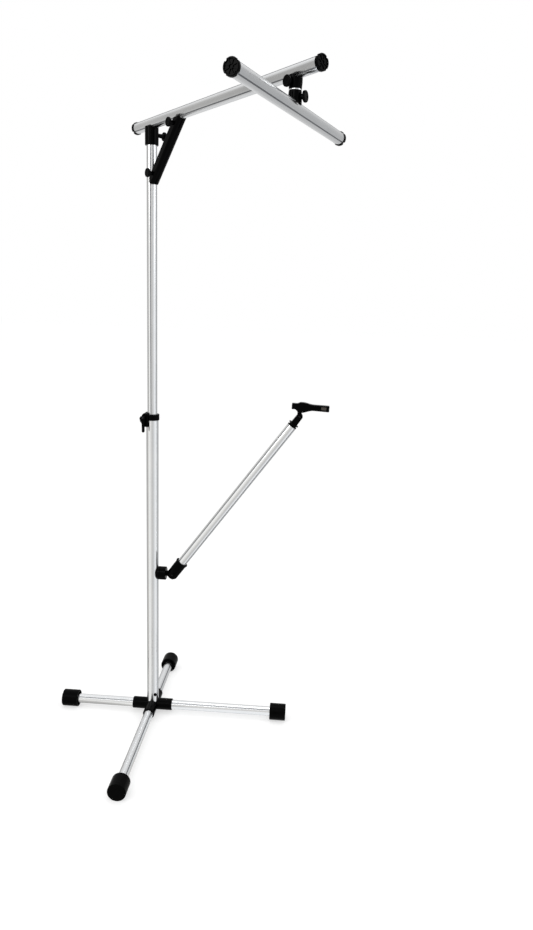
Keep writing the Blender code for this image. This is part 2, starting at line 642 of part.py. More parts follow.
def build_upper_column(shop, glide_pivot, upper):
    """Grooved inner tube with its sliding foot, the head and the head's knob."""
    tube = tube_mesh("upper_column", UPPER_BOTTOM, UPPER_TOP)
    shop.part("upper_column", tube, shop.aluminium, upper)
    glide_radius = LOWER_RADIUS - LOWER_WALL - SEAT_GAP
    plug_radius = TUBE_RADIUS - TUBE_WALL - GROOVE_DEPTH - SEAT_GAP
    foot_top = UPPER_BOTTOM - SEAT_GAP
    glide = (
        (0.0, foot_top + GLIDE_PLUG), (plug_radius, foot_top + GLIDE_PLUG), (plug_radius, foot_top),
        (glide_radius, foot_top), (glide_radius, foot_top - GLIDE_FOOT), (0.0, foot_top - GLIDE_FOOT),
    )
    shop.turned("column_glide", glide, shop.plastic, glide_pivot, steps=COLUMN_STEPS)

    horn = BOOM_HEIGHT - HEAD_HORN_DROP
    profile = (
        (0.0, horn), (HEAD_RADIUS, horn), (HEAD_RADIUS, HEAD_BOTTOM + HEAD_CHAMFER),
        (HEAD_RADIUS - HEAD_CHAMFER, HEAD_BOTTOM), (0.0, HEAD_BOTTOM),
    )
    head = shop.turned("head_saddle", profile, shop.plastic, upper, steps=COLUMN_STEPS)
    bore = prism_mesh("head_bore", tube_outline(SEAT_GAP), HEAD_BOTTOM - CUT_OVER, UPPER_TOP + SEAT_GAP)
    shop.cut(head, shop.cutter("head_bore", bore, upper))
    stud_tip = TUBE_RADIUS - HEAD_RADIUS
    knob_place = at(0.0, HEAD_RADIUS + SEAT_GAP, HEAD_STUD_HEIGHT) @ TO_BACK
    shop.cut(head, add_knob(shop, "head", upper, knob_place, HEAD_KNOB_BOSS, stud_tip))
    return head


def build_brace(shop, upper, boom_seat, head):
    """Slanted bar clamped to the column and the boom by a knob at each end."""
    boom_under = BOOM_HEIGHT - TUBE_RADIUS
    half = BRACE_WIDTH / 2
    depth = (BRACE_INNER - BRACE_OUTER) * math.cos(math.pi / 4)
    crown = (half ** 2 + BRACE_BULGE ** 2) / (2 * BRACE_BULGE)
    spread = math.degrees(math.asin(half / crown))
    section = [Vector((-half, 0.0)), Vector((half, 0.0))]
    section += arc_points((0.0, depth + BRACE_BULGE - crown), crown, 90.0 - spread, 90.0 + spread, 8)
    slant = at(z=BRACE_INNER) @ Matrix.Rotation(math.pi / 4, 4, "Y") @ turn_z(-math.pi / 2)
    bar = prism_mesh("brace_bar", section, 0.0, 2 * boom_under - 2 * BRACE_OUTER)
    brace = shop.part("brace_bar", bar, shop.plastic, upper, slant)
    clear = 2 * BRACE_BULGE
    outline = [
        (BRACE_WRAP, BRACE_BOTTOM), (BRACE_BOTTOM - BRACE_OUTER + clear, BRACE_BOTTOM),
        (boom_under - BRACE_OUTER + clear, boom_under), (boom_under - BRACE_OUTER + clear, BRACE_HORN),
        (boom_under - BRACE_INNER, BRACE_HORN), (boom_under - BRACE_INNER - clear, boom_under),
        (BRACE_WRAP, BRACE_INNER + BRACE_WRAP + clear),
    ]
    trim = plate_mesh("brace_trim", outline, 2 * BRACE_WIDTH)
    shop.combine(brace, shop.cutter("brace_trim", trim, upper, TO_FRONT), "INTERSECT")
    column_seat = prism_mesh("column_seat", tube_outline(SEAT_GAP), BRACE_BOTTOM - CUT_OVER, HEAD_BOTTOM)
    shop.cut(brace, shop.cutter("column_seat", column_seat, upper), boom_seat)
    shop.cut(head, boom_seat)
    thin = PINCH_SLIT / 2
    upper_run = (boom_under - BRACE_INNER - CUT_OVER, boom_under - BRACE_SLIT_RUN / 2)
    slit_top = block_mesh(
        "brace_top_slit", (upper_run[0], -thin, upper_run[1] - CUT_OVER),
        (boom_under - BRACE_OUTER + CUT_OVER, thin, BOOM_HEIGHT),
    )
    slit_foot = block_mesh(
        "brace_foot_slit", (0.0, -thin, BRACE_BOTTOM - CUT_OVER),
        (BRACE_SLIT_RUN, thin, BRACE_INNER + BRACE_SLIT_RUN),
    )
    shop.cut(brace, shop.cutter("brace_top_slit", slit_top, upper))
    shop.cut(brace, shop.cutter("brace_foot_slit", slit_foot, upper))
    stud_tip = SEAT_GAP + CUT_OVER - BRACE_WIDTH
    studs = (
        ("upper", BRACE_UPPER_STUD_RUN, BRACE_UPPER_STUD_HEIGHT),
        ("lower", BRACE_LOWER_STUD_RUN, BRACE_LOWER_STUD_HEIGHT),
    )
    for end, run, height in studs:
        place = at(run, -BRACE_WIDTH / 2 - SEAT_GAP, height) @ TO_FRONT
        shop.cut(brace, add_knob(shop, "brace_" + end, upper, place, BRACE_KNOB_BOSS, stud_tip))


def build_boom(shop, boom):
    """Grooved boom tube with a cap at each end."""
    front = BOOM_FRONT - CAP_THICKNESS
    rear = BOOM_REAR + CAP_THICKNESS
    shop.part("boom_tube", tube_mesh("boom_tube", rear, front), shop.aluminium, boom, TO_X)
    add_cap(shop, "boom_front_cap", boom, TO_X @ at(z=front))
    add_cap(shop, "boom_rear_cap", boom, turn_z(math.pi) @ TO_X @ at(z=-rear))


def add_tube_clamp(shop, name, pivot):
    """Pinch clamp that grips a tube's two near grooves; local Z runs from the ring to the tube."""
    low = POST_RING_THICKNESS / 2 + SEAT_GAP
    horn = POST_HALF - POST_HORN_DROP
    profile = (
        (0.0, horn), (POST_TUBE_RADIUS, horn), (POST_TUBE_RADIUS, horn / 2),
        (POST_RING_RADIUS, low), (0.0, low),
    )
    clamp = shop.turned(name + "_saddle", profile, shop.plastic, pivot, steps=COLUMN_STEPS)
    reach = POST_TUBE_RADIUS + CUT_OVER
    seat = prism_mesh(name + "_seat", tube_outline(SEAT_GAP), -reach, reach)
    shop.cut(clamp, shop.cutter(name + "_seat", seat, pivot, at(z=POST_HALF) @ TO_X))
    well = rod_mesh(name + "_well", SWIVEL_HEAD_RADIUS + SEAT_GAP, low + POST_FLOOR, POST_HALF, KNOB_STEPS)
    hole = rod_mesh(name + "_swivel_hole", SWIVEL_RADIUS + SEAT_GAP, -CUT_OVER, POST_HALF)
    thin = PINCH_SLIT / 2
    slit = block_mesh(name + "_slit", (-reach, -thin, low + POST_FLOOR), (reach, thin, POST_HALF))
    shop.cut(clamp, shop.cutter(name + "_well", well, pivot))
    shop.cut(clamp, shop.cutter(name + "_swivel_hole", hole, pivot))
    shop.cut(clamp, shop.cutter(name + "_slit", slit, pivot))
    face = POST_TUBE_RADIUS + SEAT_GAP
    knob_place = at(0.0, -face, POST_STUD_HEIGHT) @ TO_FRONT
    shop.cut(clamp, add_knob(shop, name, pivot, knob_place, POST_KNOB_BOSS, CUT_OVER - 2 * face))


def build_post(shop, post, swivel):
    """Two tube clamps, back to back on a swivel bolt."""
    add_tube_clamp(shop, "post_upper", post)
    add_tube_clamp(shop, "post_lower", swivel)
    half = POST_RING_THICKNESS / 2
    hole = SWIVEL_RADIUS + SEAT_GAP
    ring = ((POST_RING_RADIUS, half), (POST_RING_RADIUS, -half), (hole, -half), (hole, half))
    shop.turned("post_ring", ring, shop.aluminium, post, steps=COLUMN_STEPS)
    under_head = half + SEAT_GAP + POST_FLOOR + SEAT_GAP
    bolt = (
        (0.0, under_head + SWIVEL_HEAD), (SWIVEL_HEAD_RADIUS, under_head + SWIVEL_HEAD),
        (SWIVEL_HEAD_RADIUS, under_head), (SWIVEL_RADIUS, under_head),
        (SWIVEL_RADIUS, -under_head - SWIVEL_HEAD), (0.0, -under_head - SWIVEL_HEAD),
    )
    shop.turned("swivel_bolt", bolt, shop.steel, post, steps=PIN_STEPS)
    hexagon = arc_points((0.0, 0.0), SWIVEL_HEAD_RADIUS, 0.0, 300.0, 5)
    nut_mesh = prism_mesh("swivel_nut", hexagon, -under_head - SWIVEL_HEAD, -under_head)
    nut = shop.part("swivel_nut", nut_mesh, shop.steel, post)
    thread = rod_mesh("swivel_nut_hole", hole, -POST_HALF, 0.0)
    shop.cut(nut, shop.cutter("swivel_nut_hole", thread, post))


def build_cross_bar(shop, bar):
    """Grooved cross bar with a cap at each end."""
    near = BAR_NEAR - CAP_THICKNESS
    far = CAP_THICKNESS - BAR_FAR
    shop.part("cross_bar", tube_mesh("cross_bar", far, near), shop.aluminium, bar, TO_X)
    add_cap(shop, "bar_near_cap", bar, TO_X @ at(z=near))
    add_cap(shop, "bar_far_cap", bar, turn_z(math.pi) @ TO_X @ at(z=-far))


def build_coupler(shop, coupler, column):
    """Saddle bolted to the column, and the collar that holds the arm's tongue against it."""
    profile = (
        (0.0, COUPLER_BOSS_END), (COUPLER_BOSS_RADIUS, COUPLER_BOSS_END),
        (COUPLER_BOSS_RADIUS, COUPLER_FACE), (COUPLER_RADIUS, COUPLER_FACE),
        (COUPLER_RADIUS, COUPLER_START), (0.0, COUPLER_START),
    )
    saddle = shop.turned("coupler_saddle", profile, shop.plastic, coupler, TO_X, COLUMN_STEPS)
    reach = COUPLER_RADIUS + CUT_OVER
    seat = rod_mesh("coupler_seat", LOWER_RADIUS + SEAT_GAP, -reach, reach, COLUMN_STEPS)
    well_top = COUPLER_BOSS_END + CUT_OVER
    well = rod_mesh("coupler_well", COUPLER_WELL_RADIUS, COUPLER_WELL_FLOOR, well_top, KNOB_STEPS)
    hole = rod_mesh("coupler_bolt_hole", COUPLER_BOLT_RADIUS + SEAT_GAP, 0.0, COUPLER_BOSS_END)
    bolt_hole = shop.cutter("coupler_bolt_hole", hole, coupler, TO_X)
    shop.cut(saddle, shop.cutter("coupler_seat", seat, coupler))
    shop.cut(saddle, shop.cutter("coupler_well", well, coupler, TO_X), bolt_hole)
    shop.cut(column, bolt_hole)
    under_head = COUPLER_WELL_FLOOR + SEAT_GAP
    bolt = (
        (0.0, under_head + COUPLER_BOLT_HEAD), (COUPLER_BOLT_HEAD_RADIUS, under_head + COUPLER_BOLT_HEAD),
        (COUPLER_BOLT_HEAD_RADIUS, under_head), (COUPLER_BOLT_RADIUS, under_head),
        (COUPLER_BOLT_RADIUS, COUPLER_BOLT_TIP), (0.0, COUPLER_BOLT_TIP),
    )
    shop.turned("coupler_bolt", bolt, shop.steel, coupler, TO_X, PIN_STEPS)
    nut_mesh = rod_mesh("coupler_nut", COUPLER_NUT_RADIUS, COUPLER_NUT_BACK, LOWER_RADIUS, KNOB_STEPS)
    nut = shop.part("coupler_nut", nut_mesh, shop.steel, coupler, TO_X)
    shell = rod_mesh("coupler_nut_face", LOWER_RADIUS - LOWER_WALL - SEAT_GAP, -reach, reach, COLUMN_STEPS)
    shop.combine(nut, shop.cutter("coupler_nut_face", shell, coupler), "INTERSECT")
    shop.cut(nut, bolt_hole)

    start = COUPLER_FACE + SEAT_GAP
    grip = lobed_outline(COUPLER_RADIUS, COLLAR_GROOVE_WIDTH, COLLAR_GROOVE_DEPTH)
    worn = lobed_outline(COUPLER_RADIUS - SLEEVE_CHAMFER, COLLAR_GROOVE_WIDTH, COLLAR_GROOVE_DEPTH)
    collar_mesh = skinned_mesh("coupler_collar", [
        (grip, start), (grip, COLLAR_END - SLEEVE_CHAMFER), (worn, COLLAR_END),
    ])
    collar = shop.part("coupler_collar", collar_mesh, shop.plastic, coupler, TO_X)
    cavity_end = COUPLER_BOSS_END + 2 * SEAT_GAP + TONGUE_FLANGE
    cavity_radius = COUPLER_BOSS_RADIUS + 2 * SEAT_GAP
    cavity = rod_mesh("collar_cavity", cavity_radius, start - CUT_OVER, cavity_end, KNOB_STEPS)
    mouth = rod_mesh("collar_mouth", NECK_RADIUS + SEAT_GAP, start, COLLAR_END + CUT_OVER, KNOB_STEPS)
    shop.cut(collar, shop.cutter("collar_cavity", cavity, coupler, TO_X))
    shop.cut(collar, shop.cutter("collar_mouth", mouth, coupler, TO_X))


def build_elbow(shop, coupler, elbow):
    """Tongue that turns in the coupler, and the socket that tilts on it."""
    flange_low = COUPLER_BOSS_END + SEAT_GAP
    flange_top = flange_low + TONGUE_FLANGE
    neck = (
        (0.0, NECK_END), (NECK_RADIUS, NECK_END), (NECK_RADIUS, flange_top),
        (TONGUE_FLANGE_RADIUS, flange_top), (TONGUE_FLANGE_RADIUS, flange_low), (0.0, flange_low),
    )
    tongue = shop.turned("elbow_tongue", neck, shop.plastic, coupler, TO_X)
    root = NECK_END - TONGUE_FLANGE - PIVOT_ALONG
    eye = arc_points((0.0, 0.0), TONGUE_RADIUS, -90.0, 90.0, 12)
    eye += [Vector((root, NECK_RADIUS - SEAT_GAP)), Vector((root, SEAT_GAP - NECK_RADIUS))]
    eye_mesh = plate_mesh("tongue_eye", eye, TONGUE_WIDTH)
    shop.join(tongue, shop.cutter("tongue_eye", eye_mesh, coupler, at(PIVOT_ALONG) @ TO_FRONT))
    long_hole = rod_mesh("elbow_pin_hole", ELBOW_PIN_RADIUS + SEAT_GAP, -ELBOW_PIN_LENGTH, ELBOW_PIN_LENGTH)
    pin_hole = shop.cutter("elbow_pin_hole", long_hole, elbow, TO_FRONT)
    shop.cut(tongue, pin_hole)

    flare = ELBOW_MOUTH - ELBOW_FLARE
    shell = sleeve_outline(ELBOW_RADIUS)
    shell_mesh = skinned_mesh("elbow_socket", [
        (shell, -ELBOW_RADIUS), (shell, flare),
        (sleeve_outline(ELBOW_LIP_RADIUS), ELBOW_MOUTH - SLEEVE_CHAMFER),
        (sleeve_outline(ELBOW_LIP_RADIUS - SLEEVE_CHAMFER / 2), ELBOW_MOUTH),
    ])
    socket = shop.part("elbow_socket", shell_mesh, shop.plastic, elbow, TO_X)
    wide = 2 * ELBOW_LIP_RADIUS
    far_end = ELBOW_MOUTH + CUT_OVER
    side = ELBOW_RADIUS + SEAT_GAP
    half_round = arc_points((0.0, 0.0), 1.0, 90.0, 270.0, 16)
    round_end = [Vector((point.x * ELBOW_END_DEPTH, point.y * side)) for point in half_round]
    round_end += [Vector((flare, -side)), Vector((far_end, -wide)), Vector((far_end, wide)), Vector((flare, side))]
    trim = shop.cutter("elbow_trim", plate_mesh("elbow_trim", round_end, 2 * wide), elbow, TO_FRONT)
    shop.combine(socket, trim, "INTERSECT")
    bore = prism_mesh("elbow_bore", tube_outline(SEAT_GAP), ELBOW_STOP, far_end)
    shop.cut(socket, shop.cutter("elbow_bore", bore, elbow, TO_X))
    gap = TONGUE_WIDTH / 2 + SEAT_GAP
    slot = block_mesh("elbow_slot", (-wide, -gap, -wide), (ELBOW_SLOT, gap, wide))
    shop.cut(socket, shop.cutter("elbow_slot", slot, elbow), pin_hole)
    pin = rod_mesh("elbow_pin", ELBOW_PIN_RADIUS, -ELBOW_PIN_LENGTH / 2, ELBOW_PIN_LENGTH / 2)
    shop.part("elbow_pin", pin, shop.black_steel, elbow, TO_FRONT)


def build_arm(shop, elbow, rest):
    """Arm tube, its end swivel and the rest bar."""
    tube = tube_mesh("arm_tube", ELBOW_STOP + SEAT_GAP, ARM_END)
    shop.part("arm_tube", tube, shop.aluminium, elbow, TO_X)
    plug_radius = TUBE_RADIUS - TUBE_WALL - GROOVE_DEPTH - SEAT_GAP
    seat = ARM_END + SEAT_GAP
    flange_top = seat + FERRULE_FLANGE
    plug_end = ARM_END - FERRULE_PLUG
    bore = SPINDLE_RADIUS + SEAT_GAP
    ferrule = (
        (FERRULE_RADIUS, flange_top), (FERRULE_RADIUS, seat), (plug_radius, seat), (plug_radius, plug_end),
        (bore, plug_end), (bore, flange_top),
    )
    shop.turned("arm_ferrule", ferrule, shop.plastic, elbow, TO_X)

    clip_top = plug_end - SEAT_GAP
    clip_low = clip_top - CLIP_THICKNESS
    groove = SPINDLE_RADIUS - CLIP_BITE
    clip_bore = groove + SEAT_GAP
    clip = ((CLIP_RADIUS, clip_top), (CLIP_RADIUS, clip_low), (clip_bore, clip_low), (clip_bore, clip_top))
    shop.turned("swivel_clip", clip, shop.steel, elbow, TO_X)
    neck_low = flange_top + SEAT_GAP
    flange_low = neck_low + SWIVEL_NECK
    body_low = flange_low + SWIVEL_FLANGE
    spindle = (
        (0.0, body_low), (SWIVEL_FLANGE_RADIUS, body_low), (SWIVEL_FLANGE_RADIUS, flange_low),
        (SWIVEL_NECK_RADIUS, flange_low), (SWIVEL_NECK_RADIUS, neck_low), (SPINDLE_RADIUS, neck_low),
        (SPINDLE_RADIUS, clip_top + SEAT_GAP), (groove, clip_top + SEAT_GAP), (groove, clip_low - SEAT_GAP),
        (SPINDLE_RADIUS, clip_low - SEAT_GAP), (SPINDLE_RADIUS, clip_low - SPINDLE_TAIL),
        (0.0, clip_low - SPINDLE_TAIL),
    )
    swivel = shop.turned("rest_swivel", spindle, shop.plastic, elbow, TO_X)
    yoke = arc_points((0.0, 0.0), YOKE_RADIUS, -90.0, 90.0, 10)
    root = flange_low + SEAT_GAP - REST_PIVOT
    yoke += [Vector((root, YOKE_ROOT / 2)), Vector((root, -YOKE_ROOT / 2))]
    yoke_mesh = plate_mesh("rest_yoke", yoke, YOKE_WIDTH)
    shop.join(swivel, shop.cutter("rest_yoke", yoke_mesh, elbow, at(REST_PIVOT) @ TO_FRONT))
    gap = REST_TONGUE_WIDTH / 2 + SEAT_GAP
    slot_low = REST_PIVOT - REST_TONGUE_RADIUS - CUT_OVER
    slot = block_mesh("yoke_slot", (slot_low, -gap, -YOKE_ROOT), (REST_PIVOT + YOKE_ROOT, gap, YOKE_ROOT))
    hole = rod_mesh("rest_pin_hole", REST_PIN_RADIUS + SEAT_GAP, -REST_PIN_LENGTH, REST_PIN_LENGTH)
    pin_hole = shop.cutter("rest_pin_hole", hole, rest, TO_FRONT)
    shop.cut(swivel, shop.cutter("yoke_slot", slot, elbow), pin_hole)
    pin = rod_mesh("rest_pin", REST_PIN_RADIUS, -REST_PIN_LENGTH / 2, REST_PIN_LENGTH / 2)
    shop.part("rest_pin", pin, shop.black_steel, rest, TO_FRONT)

    outline = [(x * MM, z * MM) for x, z in REST_OUTLINE]
    bar = shop.part("rest_bar", plate_mesh("rest_bar", outline, REST_WIDTH), shop.plastic, rest, TO_FRONT)
    edge = bar.modifiers.new("edge", "BEVEL")
    edge.width = REST_EDGE
    edge.segments = 2
    edge.limit_method = "ANGLE"
    edge.angle_limit = math.radians(60.0)
    lift = 2 * REST_TONGUE_RADIUS
    tongue = arc_points((0.0, 0.0), REST_TONGUE_RADIUS, 180.0, 360.0, 10)
    tongue += [Vector((REST_TONGUE_RADIUS / 2, lift)), Vector((-REST_TONGUE_RADIUS, lift))]
    tongue_mesh = plate_mesh("rest_tongue", tongue, REST_TONGUE_WIDTH)
    shop.join(bar, shop.cutter("rest_tongue", tongue_mesh, rest, TO_FRONT))
    shop.cut(bar, pin_hole)


def centre_on_floor(shop, stand):
    """Set the stand on the origin by the middle of its box and its lowest face."""
    bpy.context.view_layer.update()
    graph = bpy.context.evaluated_depsgraph_get()
    low = Vector((math.inf,) * 3)
    high = -low
    for piece in shop.parts.objects:
        if piece.type != "MESH":
            continue
        solid = piece.evaluated_get(graph)
        for corner in solid.bound_box:
            point = solid.matrix_world @ Vector(corner)
            low = Vector(map(min, low, point))
            high = Vector(map(max, high, point))
    stand.location = (-(low.x + high.x) / 2, -(low.y + high.y) / 2, -low.z)


def main():
    """Build the stand from its base upward."""
    for old in list(bpy.data.objects):
        bpy.data.objects.remove(old)
    shop = Workshop()
    stand = shop.pivot("stand_origin")
    glide = shop.pivot("glide_pivot", stand)
    upper = shop.pivot("upper_pivot", glide, turn_z(BOOM_AZIMUTH))
    boom = shop.pivot("boom_pivot", upper, at(z=BOOM_HEIGHT))
    post = shop.pivot("post_pivot", boom, at(POST_ALONG, 0.0, -POST_HALF))
    flip = Matrix.Rotation(math.pi, 4, "X")
    swivel = shop.pivot("swivel_pivot", post, turn_z(BAR_AZIMUTH - BOOM_AZIMUTH) @ flip)
    bar = shop.pivot("bar_pivot", swivel, at(z=POST_HALF))
    coupler = shop.pivot("coupler_pivot", stand, at(z=ARM_HEIGHT))
    tilt = Matrix.Rotation(-ARM_ELEVATION, 4, "Y")
    elbow = shop.pivot("elbow_pivot", coupler, at(PIVOT_ALONG) @ tilt)
    level = Matrix.Rotation(ARM_ELEVATION + REST_DROOP, 4, "Y")
    rest = shop.pivot("rest_pivot", elbow, at(REST_PIVOT) @ level)

    hub = build_base(shop, stand)
    column = build_lower_column(shop, stand, hub)
    build_height_clamp(shop, stand, column)
    head = build_upper_column(shop, glide, upper)
    seat_mesh = prism_mesh("boom_seat", tube_outline(SEAT_GAP), BOOM_REAR, BOOM_FRONT)
    boom_seat = shop.cutter("boom_seat", seat_mesh, boom, TO_X)
    build_brace(shop, upper, boom_seat, head)
    build_boom(shop, boom)
    build_post(shop, post, swivel)
    build_cross_bar(shop, bar)
    build_coupler(shop, coupler, column)
    build_elbow(shop, coupler, elbow)
    build_arm(shop, elbow, rest)
    centre_on_floor(shop, stand)


main()
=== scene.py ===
"""Looks of a floor stand made of grooved aluminium tube and black mouldings."""

import json
import logging
import math
from dataclasses import dataclass, field
from enum import Enum
from typing import NamedTuple, Sequence

import bmesh
import bpy
from mathutils import Matrix, Vector

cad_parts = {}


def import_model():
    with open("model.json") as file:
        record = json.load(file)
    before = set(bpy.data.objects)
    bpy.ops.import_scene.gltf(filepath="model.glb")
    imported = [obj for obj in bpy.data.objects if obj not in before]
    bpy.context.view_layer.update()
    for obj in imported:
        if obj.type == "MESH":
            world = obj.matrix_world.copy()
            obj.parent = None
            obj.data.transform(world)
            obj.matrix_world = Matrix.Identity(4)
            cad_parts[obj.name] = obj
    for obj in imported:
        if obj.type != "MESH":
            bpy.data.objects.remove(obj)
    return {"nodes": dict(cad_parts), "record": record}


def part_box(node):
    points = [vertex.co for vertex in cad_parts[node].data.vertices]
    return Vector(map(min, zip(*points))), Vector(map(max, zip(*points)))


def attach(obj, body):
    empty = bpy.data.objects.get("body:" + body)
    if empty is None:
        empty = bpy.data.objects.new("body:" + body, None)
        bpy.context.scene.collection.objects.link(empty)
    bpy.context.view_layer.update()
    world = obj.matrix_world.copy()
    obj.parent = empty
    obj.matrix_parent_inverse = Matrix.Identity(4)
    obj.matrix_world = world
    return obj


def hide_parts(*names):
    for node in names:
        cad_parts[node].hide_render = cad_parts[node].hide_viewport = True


frame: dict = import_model()

MM = 0.001
GAP = 0.3
OVER = 4.0
TURN_STEPS = 96
RING_STEPS = 64
PIN_STEPS = 48
STUD_STEPS = 32
CUT_REACH = 40.0
LOBE_STEPS = 14
CORNER_STEPS = 4
SHARP_ANGLE = math.radians(32.0)
MERGE = 0.002
PHOTO_HEIGHT = 930
# Painted shade: the colour that groove floors and walls darken toward
PAINTED_GROOVE_SHADE = "#8A8C90"
LOG = logging.getLogger("stand")


class Join(Enum):
    """Ways to combine two bodies."""

    ADD = "UNION"
    CUT = "DIFFERENCE"
    KEEP = "INTERSECT"


class Slot(Enum):
    """Material slots of the record."""

    ALUMINIUM = "aluminium"
    STEEL = "steel"
    BLACK_STEEL = "black_steel"
    RUBBER = "rubber"
    PLASTIC = "plastic"


class Corner(NamedTuple):
    """Corner of an outline in millimetres, with the radius that rounds it."""

    x: float
    y: float
    soft: float = 0.0


class Sweep(NamedTuple):
    """Arc that carries an outline on from its last point, about a centre."""

    x: float
    y: float
    degrees: float
    steps: int


def shift(x: float = 0.0, y: float = 0.0, z: float = 0.0) -> Matrix:
    """Shift as a matrix, in millimetres."""
    return Matrix.Translation((x, y, z))


def turn(degrees: float, axis: str) -> Matrix:
    """Turn about a main axis as a matrix."""
    return Matrix.Rotation(math.radians(degrees), 4, axis)


TO_X = turn(90.0, "Y")
TO_FRONT = turn(90.0, "X")
TO_BACK = turn(-90.0, "X")


def points_in(geometry: Sequence) -> list[bmesh.types.BMVert]:
    """Vertices among the results of an operator."""
    return [item for item in geometry if isinstance(item, bmesh.types.BMVert)]


@dataclass(frozen=True)
class Lobes:
    """Round section with four grooves on its diagonals, in millimetres."""

    radius: float
    groove: float
    depth: float
    lip: float

    def grown(self, offset: float) -> "Lobes":
        """Same section with its faces moved outward by an offset."""
        return Lobes(self.radius + offset, self.groove - 2 * offset, self.depth, self.lip)

    def loop(self, bm: bmesh.types.BMesh, height: float) -> list[bmesh.types.BMEdge]:
        """Draw the section as a closed loop of edges.

        Args:
            bm: Mesh that takes the loop.
            height: Height of the loop on the Z axis.

        Returns:
            The edges of the loop.
        """
        half = self.groove / 2
        mouth = math.asin(half / self.radius)
        angle = math.pi / 4 + mouth
        first = bm.verts.new((self.radius * math.cos(angle), self.radius * math.sin(angle), height))
        middle = (0.0, 0.0, height)
        made = bmesh.ops.spin(
            bm, geom=[first], cent=middle, axis=(0, 0, 1), angle=math.pi / 2 - 2 * mouth, steps=LOBE_STEPS
        )
        last = points_in(made["geom_last"])[0]
        outward = Vector((math.cos(0.75 * math.pi), math.sin(0.75 * math.pi), 0.0))
        across = Vector((-outward.y, outward.x, 0.0))
        floor = (self.radius - self.depth) * outward + Vector(middle)
        rim = self.radius * math.cos(mouth) * outward + Vector(middle)
        for point in (floor - half * across, floor + half * across, rim + half * across):
            grown = bmesh.ops.extrude_vert_indiv(bm, verts=[last])
            last = grown["verts"][0]
            last.co = point
        quarter = bm.verts[:] + bm.edges[:]
        bmesh.ops.spin(
            bm, geom=quarter, cent=middle, axis=(0, 0, 1), angle=math.tau, steps=4, use_duplicate=True
        )
        bmesh.ops.remove_doubles(bm, verts=bm.verts[:], dist=MERGE)
        for vert in [vert for vert in bm.verts if turn_at(vert) > math.radians(40.0)]:
            soften_corner(bm, vert, self.lip)
        return bm.edges[:]


def turn_at(vert: bmesh.types.BMVert) -> float:
    """Angle by which a wire turns.

    Args:
        vert: Vertex of the wire.

    Returns:
        The angle in radians, or 0 at the wire's end.
    """
    if len(vert.link_edges) != 2:
        return 0.0
    before, after = (edge.other_vert(vert).co - vert.co for edge in vert.link_edges)
    return math.pi - before.angle(after)


def soften_corner(bm: bmesh.types.BMesh, vert: bmesh.types.BMVert, radius: float) -> None:
    """Round one corner of a wire.

    Args:
        bm: Mesh that holds the wire.
        vert: The corner.
        radius: Size of the rounding.
    """
    bmesh.ops.bevel(
        bm, geom=[vert], offset=radius, affect="VERTICES", segments=CORNER_STEPS, profile=0.5,
        material=-1, clamp_overlap=True,
    )


